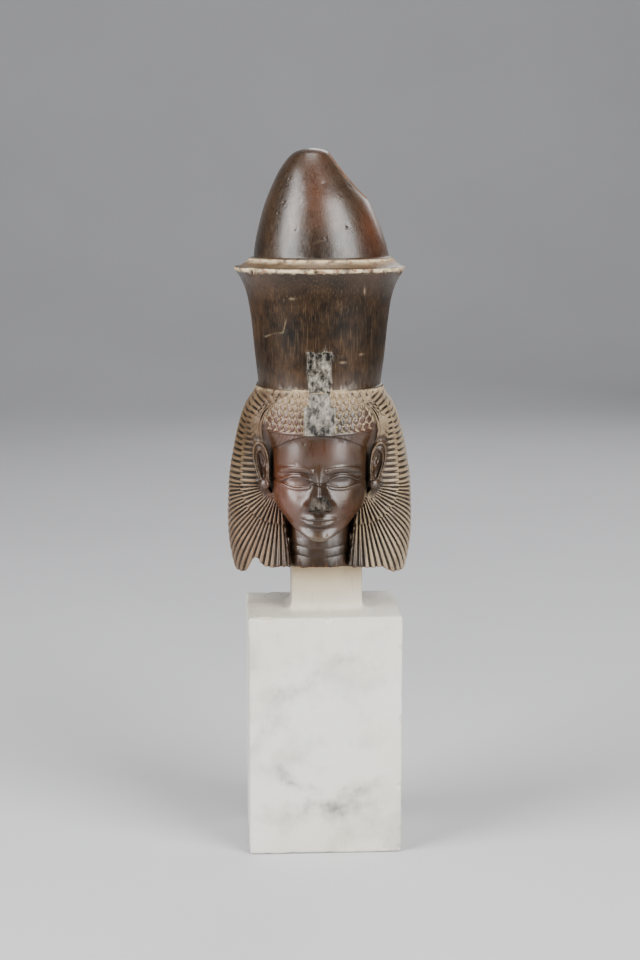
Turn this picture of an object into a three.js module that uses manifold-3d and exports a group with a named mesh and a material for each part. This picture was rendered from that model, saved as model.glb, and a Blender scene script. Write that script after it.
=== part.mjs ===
// Small Egyptian stone head of a queen on a white marble mount. Millimetres, +Z up, the face looks along -Y.
// The origin is the centre of the plinth's underside. The head rests on the stem of the mount by its own weight.
import * as THREE from "three";
import { mergeVertices } from "three/addons/utils/BufferGeometryUtils.js";
import Module from "manifold-3d";

// Driving dimensions of the marble mount
const PLINTH_WIDTH = 51;
const PLINTH_DEPTH = 36;
const PLINTH_HEIGHT = 82;
const PLINTH_EDGE = 1.3; // rounding of the worn edges
const STEM_WIDTH = 23.5;
const STEM_DEPTH = 13.6;
const STEM_HEIGHT = 15;
const STEM_FLARE = 1.8; // hollow where the stem grows out of the plinth's top
const STEM_EDGE = 0.8;
const STEM_ASIDE = 1; // the stem stands a little right of the plinth's middle
const ROUND_STEPS = 3;

// Driving dimension of the stone: the lowest tip of the wig to the top of the crown.
// The carving is drawn on a canon of 139 units, and the seat on the stem is 2 units above the lowest tip.
const STONE_HEIGHT = 139;
const CANON_UNITS = 139;
const UNIT = STONE_HEIGHT / CANON_UNITS;

// The head isn't set quite straight on the mount: it looks a little to the left and sits a little left of the middle.
const HEAD_TURN_DEGREES = -3.2;
const HEAD_ASIDE = -1.1;

// Small helpers
const DEGREE = Math.PI / 180;
const clamp01 = (v) => Math.min(1, Math.max(0, v));
const lerp = (a, b, t) => a + (b - a) * t;
const smooth = (from, to, v) => {
  const t = clamp01((v - from) / (to - from));
  return t * t * (3 - 2 * t);
};
const bell = (d) => Math.exp(-d * d);
const fromTo = (from, to, steps) => Array.from({ length: steps + 1 }, (_, i) => lerp(from, to, i / steps));
const counted = (from, to) =>
  Array.from({ length: Math.abs(to - from) + 1 }, (_, i) => from + Math.sign(to - from) * i);

// A smooth curve through [height, value] points, level beyond its ends.
function profile(points) {
  const slope = points.map((_, i) => {
    const a = points[Math.max(0, i - 1)];
    const b = points[Math.min(points.length - 1, i + 1)];
    return (b[1] - a[1]) / (b[0] - a[0]);
  });
  return (z) => {
    if (z <= points[0][0]) return points[0][1];
    if (z >= points[points.length - 1][0]) return points[points.length - 1][1];
    const i = points.findIndex((p) => p[0] > z) - 1;
    const [z0, v0] = points[i];
    const [z1, v1] = points[i + 1];
    const h = z1 - z0;
    const t = (z - z0) / h;
    const t2 = t * t;
    const t3 = t2 * t;
    return (
      (2 * t3 - 3 * t2 + 1) * v0 +
      (t3 - 2 * t2 + t) * h * slope[i] +
      (3 * t2 - 2 * t3) * v1 +
      (t3 - t2) * h * slope[i + 1]
    );
  };
}

// A repeatable uneven value between -1 and 1, for worn and broken edges.
function uneven(a, b = 0) {
  const s = Math.sin(a * 12.9898 + b * 78.233) * 43758.5453;
  return 2 * (s - Math.floor(s)) - 1;
}

function geometryOf(points, faces) {
  const geometry = new THREE.BufferGeometry();
  geometry.setAttribute("position", new THREE.Float32BufferAttribute(points.flat(), 3));
  geometry.setIndex(faces.flat());
  return geometry;
}

// Rings of equal length, lowest first, each running counterclockwise seen from above, closed by a fan at each end.
function closedLoft(rings) {
  const count = rings[0].length;
  const points = rings.flat();
  const faces = [];
  for (let r = 0; r + 1 < rings.length; r++) {
    for (let c = 0; c < count; c++) {
      const a = r * count + c;
      const b = r * count + ((c + 1) % count);
      faces.push([a, b, b + count], [a, b + count, a + count]);
    }
  }
  const middle = (ring) => [0, 1, 2].map((k) => ring.reduce((sum, p) => sum + p[k], 0) / count);
  const low = points.push(middle(rings[0])) - 1;
  const high = points.push(middle(rings[rings.length - 1])) - 1;
  const top = (rings.length - 1) * count;
  for (let c = 0; c < count; c++) {
    const d = (c + 1) % count;
    faces.push([low, d, c], [high, top + c, top + d]);
  }
  return geometryOf(points, faces);
}

const wasm = await Module();
wasm.setup();

function solidOf(geometry) {
  const bare = new THREE.BufferGeometry();
  bare.setAttribute("position", geometry.getAttribute("position"));
  if (geometry.index) bare.setIndex(geometry.index);
  const merged = mergeVertices(bare, 1e-4);
  return new wasm.Manifold(
    new wasm.Mesh({
      numProp: 3,
      vertProperties: merged.attributes.position.array,
      triVerts: new Uint32Array(merged.index.array),
    }),
  );
}

function geometryFrom(solid) {
  const mesh = solid.getMesh();
  const geometry = new THREE.BufferGeometry();
  const places = new Float32Array(mesh.numVert * 3);
  for (let i = 0; i < mesh.numVert; i++) {
    places.set(mesh.vertProperties.subarray(i * mesh.numProp, i * mesh.numProp + 3), i * 3);
  }
  geometry.setAttribute("position", new THREE.BufferAttribute(places, 3));
  geometry.setIndex(new THREE.BufferAttribute(mesh.triVerts, 1));
  return geometry;
}

// The marble mount: plinth and stem cut from one block, as a stack of rounded rectangles.
function roundedRectangle(z, halfWidth, halfDepth, radius) {
  const ring = [];
  const corners = [
    [1, -1, -90],
    [1, 1, 0],
    [-1, 1, 90],
    [-1, -1, 180],
  ];
  for (const [sx, sy, start] of corners) {
    for (const turn of fromTo(start, start + 90, ROUND_STEPS)) {
      ring.push([
        sx * (halfWidth - radius) + radius * Math.cos(turn * DEGREE),
        sy * (halfDepth - radius) + radius * Math.sin(turn * DEGREE),
        z,
      ]);
    }
  }
  return ring;
}

function marbleMount() {
  const rings = [];
  const halfWidth = PLINTH_WIDTH / 2;
  const halfDepth = PLINTH_DEPTH / 2;
  const edge = (z, inset, radius) => rings.push(roundedRectangle(z, halfWidth - inset, halfDepth - inset, radius));
  for (const turn of fromTo(0, 90, ROUND_STEPS)) {
    const inset = PLINTH_EDGE * (1 - Math.sin(turn * DEGREE));
    edge(PLINTH_EDGE * (1 - Math.cos(turn * DEGREE)), inset, PLINTH_EDGE * 1.4 - inset);
  }
  for (const turn of fromTo(0, 90, ROUND_STEPS)) {
    const inset = PLINTH_EDGE * (1 - Math.cos(turn * DEGREE));
    edge(PLINTH_HEIGHT - PLINTH_EDGE * (1 - Math.sin(turn * DEGREE)), inset, PLINTH_EDGE * 1.4 - inset);
  }
  const stem = (z, proud, radius) => {
    const ring = roundedRectangle(z, STEM_WIDTH / 2 + proud, STEM_DEPTH / 2 + proud, radius + proud);
    rings.push(ring.map(([x, y, height]) => [x + STEM_ASIDE, y, height]));
  };
  for (const turn of fromTo(0, 90, ROUND_STEPS)) {
    stem(
      PLINTH_HEIGHT + STEM_FLARE * (1 - Math.cos(turn * DEGREE)),
      STEM_FLARE * (1 - Math.sin(turn * DEGREE)),
      STEM_EDGE,
    );
  }
  stem(PLINTH_HEIGHT + STEM_HEIGHT, 0, STEM_EDGE);
  return closedLoft(rings);
}

// Everything below is the stone, in canon units: z is 0 at the seat on the stem, x 0 at the middle of the face.

// Heights of the canon
const BREAK = -4; // the raw solids go down to here before the broken underside is cut
const LOWEST = -2;
const CHIN = 10;
const THIRD = 12; // chin to nose, nose to brow and brow to hairline are equal thirds
const NOSE = CHIN + THIRD;
const BROW = NOSE + THIRD;
const HAIRLINE = BROW + THIRD;
const MOUTH = NOSE - THIRD / 3;
const EYE = BROW - 3.8;
const CROWN_BASE = 60;
const CROWN_RIM = 98;
const CROWN_TOP = CANON_UNITS + LOWEST;
const WIG_TOP = CROWN_BASE + 0.4;
const capAt = (share) => lerp(HAIRLINE, CROWN_BASE, share); // heights on the cap, from the hairline to the crown

// Face: half width and forward reach at each height, without the nose, eyes and lips
const faceHalfWidth = profile([
  [CHIN, 6.4],
  [CHIN + 1.5, 9],
  [CHIN + 4, 11.9],
  [MOUTH, 14.2],
  [NOSE, 15.6],
  [NOSE + 4, 16.3],
  [EYE, 16.6],
  [BROW + 2, 16.5],
  [HAIRLINE - 4, 16.6],
  [capAt(0.04), 18.8],
  [capAt(0.29), 20.3],
  [capAt(0.57), 20.6],
  [capAt(0.79), 19.9],
  [WIG_TOP, 20.4],
]);
const faceReach = profile([
  [CHIN, 19.4],
  [CHIN + 1.3, 21.3],
  [CHIN + 3, 21.9],
  [CHIN + 5.6, 20.8],
  [MOUTH, 21.2],
  [NOSE, 21.1],
  [NOSE + 4, 20.6],
  [EYE, 20.4],
  [BROW, 21.3],
  [BROW + 6, 21.6],
  [capAt(0), 21.1],
  [capAt(0.43), 21.1],
  [capAt(0.79), 20.7],
  [WIG_TOP, 19.7],
]);
const FACE_SIDE = 2; // the face is widest this far in front of the head's axis
const jawTilt = (z) => lerp(0.45, 0, smooth(CHIN + 2, NOSE + 4, z));

// Features of the face, each a height in front of the face's mass at (x, z)
const noseRidge = profile([
  [NOSE - 0.9, 0],
  [NOSE - 0.2, 1.5],
  [NOSE + 0.6, 3.6],
  [NOSE + 1.7, 4.8],
  [NOSE + 3.4, 4.3],
  [NOSE + 6, 3],
  [EYE, 1.7],
  [BROW - 1, 1],
  [BROW + 2.5, 0],
]);
const noseWidth = profile([
  [NOSE, 2.6],
  [NOSE + 2, 2.4],
  [NOSE + 6, 1.9],
  [EYE, 1.7],
  [BROW, 2.6],
]);
function nose(x, z) {
  const ridge = noseRidge(z) * bell(x / noseWidth(z));
  const flank = 1.3 * bell(x / 4.2) * bell((z - NOSE - 3.4) / 4.6);
  const wing = 2.3 * bell((Math.abs(x) - 3.2) / 1.5) * bell((z - NOSE - 1.1) / 1.5);
  const whole = ridge + flank + wing;
  // The tip and one wing are broken off to a rough slope.
  const brokenTo = 3.5 - 0.28 * x + 0.25 * uneven(Math.round(x), Math.round(z));
  const struck = bell((x - 0.6) / 4.2) * smooth(NOSE + 5.2, NOSE + 3.6, z);
  return lerp(whole, Math.min(whole, brokenTo), struck > 0.35 ? 1 : 0);
}

const EYE_X = 7.3;
const EYE_HALF = 4.7;
const LID_EDGE = 0.35; // rows of the face's grid run along the eye's edge, the crest of the lid and its outer side
const LID_CREST = 0.75;
const LID_OUTER = 1.25;
const eyeArch = (x) => Math.max(0, 1 - ((Math.abs(x) - EYE_X) / EYE_HALF) ** 2);
const upperLid = (x) => LID_EDGE + 1.6 * eyeArch(x) ** 0.8;
const lowerLid = (x) => -LID_EDGE - 1.0 * eyeArch(x) ** 0.9;
function eye(x, z) {
  const across = (Math.abs(x) - EYE_X) / EYE_HALF;
  const arch = eyeArch(x);
  const up = z - EYE - upperLid(x);
  const down = z - EYE - lowerLid(x);
  const near = across < 0 ? smooth(-1.15, -1, across) : smooth(1.5, 1.1, across);
  const socket = -1.3 * bell((Math.abs(x) - EYE_X + 0.7) / 5.2) * bell((z - EYE - 0.6) / 3.3);
  const ball = up < 0.05 && down > -0.05 ? 0.9 * arch ** 0.5 - 0.45 : 0;
  const lids = near * (0.75 * bell((up - LID_CREST + LID_EDGE) / 0.45) + 0.5 * bell((down + LID_CREST - LID_EDGE) / 0.45));
  return socket + ball + lids;
}
const browLine = (x) => BROW + 1 - 0.026 * (Math.abs(x) - 7) ** 2;
function brow(x, z) {
  const out = Math.abs(x);
  const ridge = 0.6 * bell((z - browLine(x)) / 0.8);
  return ridge * smooth(1.4, 2.8, out) * smooth(14, 12.4, out);
}
const LIP_HALF = 5.5;
const lipFull = (x) => Math.max(0, 1 - (x / LIP_HALF) ** 2);
const lipSpread = (x) => lerp(0.5, 1.9, lipFull(x) ** 0.7) + 0.5 * smooth(LIP_HALF, 9, Math.abs(x));
const lipBend = (x) => 0.35 * smooth(0, LIP_HALF, Math.abs(x));
function lips(x, z) {
  const o = (z - MOUTH - lipBend(x)) / lipSpread(x);
  const full = lipFull(x);
  const muzzle = 0.9 * bell(x / 6.2) * bell((z - MOUTH) / 4.2);
  const upper = 1.15 * full ** 0.5 * bell((o - 0.5) / 0.42);
  const lower = 1.35 * full ** 0.6 * bell((o + 0.55) / 0.48);
  const parting = -0.55 * smooth(1.25, 0.9, Math.abs(x) / LIP_HALF) * bell(o / 0.22);
  return muzzle + upper + lower + parting;
}
function soft(x, z) {
  const cheeks = 0.7 * bell((Math.abs(x) - 9.5) / 4.5) * bell((z - NOSE - 3.5) / 4.5);
  const chin = 0.7 * bell(x / 4.4) * bell((z - CHIN - 2.6) / 2.2);
  return cheeks + chin;
}

// The cap of the vulture headdress stands proud of the brow above this arch, which falls towards the ears.
const hairArch = (x) => HAIRLINE - 7.6 * (Math.abs(x) / 17) ** 2.6;
const CAP_EDGE = HAIRLINE + 1.4;

// Rows of the face's grid bend with the lids, the lips and the hairline, so that their edges are cut cleanly.
function rowHeight(level, x) {
  const fromEye = level - EYE;
  if (fromEye > 0 && fromEye < BROW - EYE) {
    const rise = upperLid(x) - LID_EDGE;
    return level + rise * Math.min(fromEye / LID_EDGE, 1) * smooth(BROW - EYE, LID_OUTER, fromEye);
  }
  if (fromEye <= 0 && fromEye > -4) {
    const fall = lowerLid(x) + LID_EDGE;
    return level + fall * Math.min(-fromEye / LID_EDGE, 1) * smooth(-4, -LID_OUTER, fromEye);
  }
  const hairRoot = BROW + 2;
  if (level > hairRoot && level < CAP_EDGE - 0.1) {
    return hairRoot + ((level - hairRoot) * (hairArch(x) - hairRoot)) / (HAIRLINE - hairRoot);
  }
  const fromMouth = level - MOUTH;
  const span = 3.4;
  if (Math.abs(fromMouth) < span) {
    const s = lipSpread(x);
    const o = Math.abs(fromMouth);
    const away = o <= 1 ? o * s : s + ((o - 1) * (span - s)) / (span - 1);
    return MOUTH + Math.sign(fromMouth) * away + lipBend(x) * smooth(span, 1, o);
  }
  return level;
}

const CAP_PROUD = 0.9;
const SCALE_RISE = 0.5;
const SCALE_ROWS = 5; // each is two rows of the grid high
// Tips stand over the roots of the next row, and every row is set half a scale to the side.
function scaleRelief(row, column) {
  const tip = row % 2 === 0;
  const ridge = (Math.floor(row / 2) + column) % 2 === 0;
  if (ridge) return tip ? SCALE_RISE : 0.4 * SCALE_RISE;
  return tip ? -0.7 * SCALE_RISE : -0.3 * SCALE_RISE;
}

function facePoint(turn, level, capRow, column) {
  const power = 2 / lerp(2.25, 2, smooth(HAIRLINE - 2, HAIRLINE + 8, level));
  const side = Math.sin(turn);
  const front = Math.cos(turn);
  const x = faceHalfWidth(level) * Math.sign(side) * Math.abs(side) ** power;
  const mass = faceReach(level) - FACE_SIDE;
  let forward = FACE_SIDE + mass * Math.sign(front) * Math.abs(front) ** power;
  const row = rowHeight(level, x);
  const z = row + Math.max(0, faceReach(level) - forward) * jawTilt(level);
  if (front > 0) {
    const facing = smooth(0, 0.5, front);
    forward += facing * (nose(x, row) + eye(x, row) + brow(x, row) + lips(x, row) + soft(x, row));
    forward += CAP_PROUD * smooth(HAIRLINE - 0.35, HAIRLINE + 0.35, level) * facing;
    if (capRow >= 0) forward += scaleRelief(capRow, column) * facing;
  } else {
    forward = FACE_SIDE + 0.45 * mass * front;
  }
  return [x, -forward, z];
}

function faceAndCap() {
  const flat = fromTo(0, 0.82, 12).map((share) => Math.asin(share ** (1 / 0.9)));
  const edge = fromTo(flat[flat.length - 1], Math.PI / 2, 3).slice(1);
  const right = [...flat, ...edge, 130 * DEGREE];
  const turns = [...right, Math.PI, ...right.slice(1).reverse().map((t) => 2 * Math.PI - t)];
  const eyeRows = [-LID_OUTER, -LID_CREST, -LID_EDGE, 0, LID_EDGE, LID_CREST, LID_OUTER].map((o) => EYE + o);
  const lipRows = [-1.05, -0.55, -0.22, 0, 0.22, 0.5, 1].map((o) => MOUTH + o);
  const below = [
    ...fromTo(CHIN, MOUTH - 3.4, 4),
    MOUTH - 2.2,
    ...lipRows,
    MOUTH + 2.2,
    ...fromTo(MOUTH + 3.4, EYE - 4, 5),
    EYE - 2.6,
    ...eyeRows,
    ...fromTo(EYE + 2.2, BROW + 2, 4),
    ...fromTo(BROW + 5, HAIRLINE - 0.4, 2),
    HAIRLINE + 0.4,
    CAP_EDGE - 0.2,
  ];
  const cap = fromTo(CAP_EDGE, WIG_TOP, 2 * SCALE_ROWS);
  const ring = (level, capRow) => turns.map((turn, column) => facePoint(turn, level, capRow, column));
  return closedLoft([
    ...below.map((level) => ring(level, -1)),
    ...cap.map((level, row) => ring(level, row < cap.length - 1 ? row : -1)),
  ]);
}

function neck() {
  const rings = fromTo(BREAK, 24, 5).map((z) => {
    const reach = lerp(12.6, 10.5, (z - BREAK) / 28);
    return fromTo(0, 2 * Math.PI, 16)
      .slice(1)
      .map((turn) => [11 * Math.cos(turn), 10 * Math.sin(turn) - (reach - 10), z]);
  });
  return closedLoft(rings);
}

// Wig: a rounded block. Along a level line, s runs from the middle of the front round to the middle of the back.
const wigHalfWidth = profile([
  [BREAK, 27.2],
  [LOWEST, 28.2],
  [2, 29.4],
  [9, 30.5],
  [19, 30.8],
  [29, 30.3],
  [39, 28.7],
  [capAt(0.21), 26.3],
  [capAt(0.57), 24.3],
  [capAt(0.82), 22],
  [WIG_TOP, 20.8],
]);
const wigFront = profile([
  [BREAK, 12],
  [6, 10.6],
  [18, 8.8],
  [30, 8],
  [38, 9.3],
  [42, 10.4],
  [capAt(0.04), 12.6],
  [capAt(0.29), 14.6],
  [capAt(0.57), 16.8],
  [capAt(0.79), 19],
  [WIG_TOP, 20.8],
]);
const wigBack = profile([
  [BREAK, 20],
  [12, 22.5],
  [30, 24],
  [44, 23.8],
  [capAt(0.57), 22.4],
  [WIG_TOP, 20.8],
]);
const frontCorner = profile([
  [30, 10],
  [capAt(0.14), 14],
  [WIG_TOP, 20.8],
]);
const backCorner = profile([
  [30, 15],
  [capAt(0.14), 16],
  [WIG_TOP, 20.8],
]);

function wigPlace(s, z) {
  const half = wigHalfWidth(z);
  const r1 = frontCorner(z);
  const r2 = backCorner(z);
  const front = -wigFront(z);
  const back = wigBack(z);
  const stretches = [half - r1, (Math.PI / 2) * r1, back - front - r1 - r2, (Math.PI / 2) * r2];
  let rest = s;
  if (rest <= stretches[0]) return { x: rest, y: front, nx: 0, ny: -1 };
  rest -= stretches[0];
  if (rest <= stretches[1]) {
    const a = rest / r1;
    return { x: half - r1 + r1 * Math.sin(a), y: front + r1 - r1 * Math.cos(a), nx: Math.sin(a), ny: -Math.cos(a) };
  }
  rest -= stretches[1];
  if (rest <= stretches[2]) return { x: half, y: front + r1 + rest, nx: 1, ny: 0 };
  rest -= stretches[2];
  if (rest <= stretches[3]) {
    const a = rest / r2;
    return { x: half - r2 + r2 * Math.cos(a), y: back - r2 + r2 * Math.sin(a), nx: Math.cos(a), ny: Math.sin(a) };
  }
  rest -= stretches[3];
  return { x: Math.max(0, half - r2 - rest), y: back, nx: 0, ny: 1 };
}
const wigHalfGirth = (z) =>
  2 * wigHalfWidth(z) + wigBack(z) + wigFront(z) + (Math.PI / 2 - 2) * (frontCorner(z) + backCorner(z));

// Feathers: a leading edge from the crown to the ear, then two rows of feathers that fan out to the side.
// The first row ends on an arc round the ear's lobe, the second at the end of the wing or at the break.
const FAN_S = 13;
const FAN_Z = 28;
const FAN_START = 4;
const ROW_ONE = 13.6;
const ARC_S = FAN_S + ROW_ONE;
const UPPER_FEATHERS = 15;
const LOWER_FEATHERS = 10;
const HIGHEST = CROWN_BASE + 6; // height at which the topmost feather's line would cross the arc
const UPPER_TILT = 20 * DEGREE;
const LAST_ANGLE = 97 * DEGREE;
const WING_END = 40;
const FEATHER_DEPTH = 0.75;
const ROW_STEP = 0.5;
const EDGE_RISE = 0.9;
const INNER_WALL = 5; // how far back the inner side of each lappet goes beside the neck
const leadingEdge = profile([
  [FAN_Z, FAN_S + FAN_START],
  [36, 16.4],
  [42, 17.6],
  [capAt(0), 18.4],
  [capAt(0.29), 18.1],
  [capAt(0.5), 17],
  [capAt(0.79), 13.2],
  [capAt(1), 9.2],
]);

function wigPoint(side, s, z, rise) {
  const p = wigPlace(s, z);
  const shown = rise * smooth(WIG_TOP, WIG_TOP - 2.5, z);
  return [side * (p.x + p.nx * shown), p.y + p.ny * shown, z];
}

// The lines of one wing, from the crown down to the neck, three to each feather: a groove and the crest's two sides.
function wingLines() {
  const lines = [];
  const groove = (i) => (i % 3 ? 0 : -FEATHER_DEPTH);
  for (let i = 0; i <= 3 * UPPER_FEATHERS; i++) {
    const atArc = lerp(HIGHEST, FAN_Z, i / (3 * UPPER_FEATHERS));
    const slope = Math.tan(UPPER_TILT * clamp01((atArc - 36) / 24));
    const height = (s) => atArc + (s - ARC_S) * slope;
    let start = 18;
    for (let n = 0; n < 12; n++) start = lerp(start, leadingEdge(height(start)), 0.6);
    const toTop = slope > 0 ? ARC_S + (WIG_TOP - atArc) / slope : Infinity;
    const end = Math.min(WING_END, toTop);
    const arc = Math.min(ARC_S, lerp(start, end, 0.62));
    const edge = EDGE_RISE * smooth(40, 45, height(start));
    const stations = [
      [start, -1.2],
      [start + 0.5, edge],
      [Math.min(start + 1.5, lerp(start, arc, 0.3)), 0.1],
      [lerp(start, arc, 0.4), groove(i) + ROW_STEP],
      [arc - 0.4, groove(i) + ROW_STEP],
      [Math.min(arc + 0.4, end - 0.1), groove(i)],
      [lerp(arc, end, 0.35), groove(i)],
      [lerp(arc, end, 0.7), groove(i)],
      [end, groove(i)],
    ];
    const line = stations.map(([s, rise]) => ({ s, z: Math.min(height(s), WIG_TOP), rise }));
    if (toTop < WING_END) line[line.length - 1].z = WIG_TOP;
    lines.push(line);
  }
  const last = 3 * LOWER_FEATHERS;
  for (let i = 1; i <= last; i++) {
    const angle = (LAST_ANGLE * i) / last;
    const toBottom = (FAN_Z - BREAK) / Math.sin(angle);
    const toEnd = angle < Math.PI / 2 ? (WING_END - FAN_S) / Math.cos(angle) : Infinity;
    const far = Math.min(toBottom, toEnd);
    const stations = [FAN_START, 5.5, 8, 11, ROW_ONE - 0.4, ROW_ONE + 0.4, ...fromTo(ROW_ONE, far, 3).slice(1)];
    const rise = (k) => {
      if (i === last) return -INNER_WALL;
      if (k === 0) return -1.2;
      return groove(i) + (k < 5 ? ROW_STEP : 0);
    };
    lines.push(
      stations.map((out, k) => ({
        s: FAN_S + out * Math.cos(angle),
        z: Math.max(BREAK, FAN_Z - out * Math.sin(angle)),
        rise: rise(k),
      })),
    );
  }
  return lines;
}

function wig() {
  const points = [];
  const faces = [];
  const add = (p) => points.push(p) - 1;
  const face = (side, a, b, c) => faces.push(side > 0 ? [a, b, c] : [a, c, b]);
  const lines = wingLines();
  const steps = lines[0].length;
  const last = lines.length - 1;
  const locks = 10; // upright locks on each half of the back
  const levels = 6;
  const reachesEnd = (line) => line[steps - 1].s > WING_END - 1e-6;
  const firstEnd = lines.findIndex(reachesEnd);
  const lastEnd = last - [...lines].reverse().findIndex(reachesEnd);
  const heights = fromTo(WIG_TOP, BREAK, levels);
  const middle = heights.map((z) => add(wigPoint(1, wigHalfGirth(z), z, -FEATHER_DEPTH)));
  const halves = [1, -1].map((side) => {
    const grid = lines.map((line) => line.map((p) => add(wigPoint(side, p.s, p.z, p.rise))));
    for (let i = 0; i < last; i++) {
      for (let k = 0; k + 1 < steps; k++) {
        face(side, grid[i][k], grid[i + 1][k], grid[i + 1][k + 1]);
        face(side, grid[i][k], grid[i + 1][k + 1], grid[i][k + 1]);
      }
    }
    // The upright locks: columns from the wing's end to the middle of the back, shared by both sides there.
    const columns = counted(1, 2 * locks - 1).map((c) =>
      heights.map((z) => {
        const s = lerp(WING_END + 1.2, wigHalfGirth(z), (c - 1) / (2 * locks - 1));
        return add(wigPoint(side, s, z, c % 2 ? 0 : -FEATHER_DEPTH));
      }),
    );
    columns.push(middle);
    for (let c = 0; c + 1 < columns.length; c++) {
      for (let k = 0; k < levels; k++) {
        face(side, columns[c][k], columns[c][k + 1], columns[c + 1][k + 1]);
        face(side, columns[c][k], columns[c + 1][k + 1], columns[c + 1][k]);
      }
    }
    // The ends of the feathers are stitched to the first column, always with the higher next point.
    const ends = grid.slice(firstEnd, lastEnd + 1).map((line) => line[steps - 1]);
    const first = columns[0];
    let i = 0;
    let k = 0;
    while (i < ends.length - 1 || k < first.length - 1) {
      const nextEnd = i < ends.length - 1 ? points[ends[i + 1]][2] : -Infinity;
      const nextFirst = k < first.length - 1 ? points[first[k + 1]][2] : -Infinity;
      if (nextEnd >= nextFirst) {
        face(side, ends[i], ends[i + 1], first[k]);
        i++;
      } else {
        face(side, ends[i], first[k + 1], first[k]);
        k++;
      }
    }
    const tops = columns.map((column) => column[0]);
    const bottoms = columns.map((column) => column[levels]);
    return {
      inner: [...grid.map((line) => line[0]), ...grid[last].slice(1)],
      top: [grid[0][0], ...grid[0].slice(1), ...grid.slice(1, firstEnd + 1).map((line) => line[steps - 1]), ...tops],
      bottom: [...grid.slice(lastEnd).reverse().map((line) => line[steps - 1]), ...bottoms],
    };
  });
  // The hidden middle of the front, behind the face and the neck.
  const [right, left] = halves;
  const outline = [...right.inner, ...left.inner.reverse()];
  const flat = outline.map((id) => new THREE.Vector2(points[id][0], points[id][2]));
  for (const [a, b, c] of THREE.ShapeUtils.triangulateShape(flat, [])) {
    faces.push([outline[a], outline[b], outline[c]]);
  }
  // The top and the bottom are closed on the axis; both halves share the last point, at the middle of the back.
  const close = (z, loop) => {
    const hub = add([0, 2, z]);
    loop.forEach((id, n) => faces.push([hub, id, loop[(n + 1) % loop.length]]));
  };
  close(WIG_TOP, [...right.top, ...left.top.slice(0, -1).reverse()]);
  close(BREAK, [...left.bottom.slice(0, -1), ...right.bottom.reverse()]);
  return geometryOf(points, faces);
}

// Crown: a flaring drum, a thin chipped rim, a sloping collar and a tall bulb that has lost its top right side.
const CROWN_LEAN = 3 * DEGREE;
const CROWN_SIDES = 33;
const RIM_RADIUS = 28;
const RIM_THICK = 1;
const RIM_CHIP = 0.45;
const BULB_BASE = CROWN_RIM + 3.6;
const drumRadius = profile([
  [CROWN_BASE - 3, 19.9],
  [CROWN_BASE, 20.1],
  [CROWN_BASE + 10, 21.3],
  [CROWN_BASE + 20, 22.3],
  [CROWN_BASE + 28, 23.5],
  [CROWN_BASE + 33, 25],
  [CROWN_BASE + 36.5, 26.9],
  [CROWN_RIM, RIM_RADIUS],
]);
const bulbAt = (share) => lerp(BULB_BASE, CROWN_TOP, share);
const bulbRadius = profile([
  [bulbAt(0), 22.3],
  [bulbAt(0.15), 21.3],
  [bulbAt(0.345), 19.2],
  [bulbAt(0.53), 16.6],
  [bulbAt(0.71), 12.9],
  [bulbAt(0.845), 9.7],
  [bulbAt(0.945), 6.6],
  [bulbAt(0.985), 4.4],
  [bulbAt(1), 2.6],
]);
const bulbShift = profile([
  [bulbAt(0), 0.6],
  [bulbAt(0.25), 0],
  [bulbAt(0.53), -0.9],
  [bulbAt(0.8), -2.3],
  [bulbAt(1), -2.6],
]);
function crown() {
  const around = counted(0, CROWN_SIDES - 1);
  const ring = (z, radius, shift = 0) =>
    around.map((i) => {
      const turn = (2 * Math.PI * i) / CROWN_SIDES;
      return [radius(i) * Math.cos(turn) + shift, radius(i) * Math.sin(turn), z];
    });
  const chipped = (i) => RIM_RADIUS - RIM_CHIP * (1 - uneven(i)) - (i % 11 === 3 ? RIM_CHIP : 0);
  const drum = [CROWN_BASE - 3, ...fromTo(CROWN_BASE, CROWN_BASE + 28, 3), CROWN_BASE + 33, CROWN_BASE + 36.5];
  const bulb = fromTo(0, 1, 8).map((share) => lerp(BULB_BASE, CROWN_TOP, 1 - (1 - share) ** 1.35));
  const geometry = closedLoft([
    ...drum.map((z) => ring(z, () => drumRadius(z))),
    ring(CROWN_RIM, chipped),
    ring(CROWN_RIM + RIM_THICK, (i) => chipped(i) - 0.2),
    ring(CROWN_RIM + 2.9, () => 23.9, 0.4),
    ring(BULB_BASE - 0.3, () => 23, 0.6),
    ...bulb.map((z) => ring(z, () => bulbRadius(z), bulbShift(z))),
  ]);
  geometry.translate(0, 0, -CROWN_BASE);
  geometry.rotateX(-CROWN_LEAN);
  geometry.translate(0, 0, CROWN_BASE);
  return geometry;
}

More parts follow.
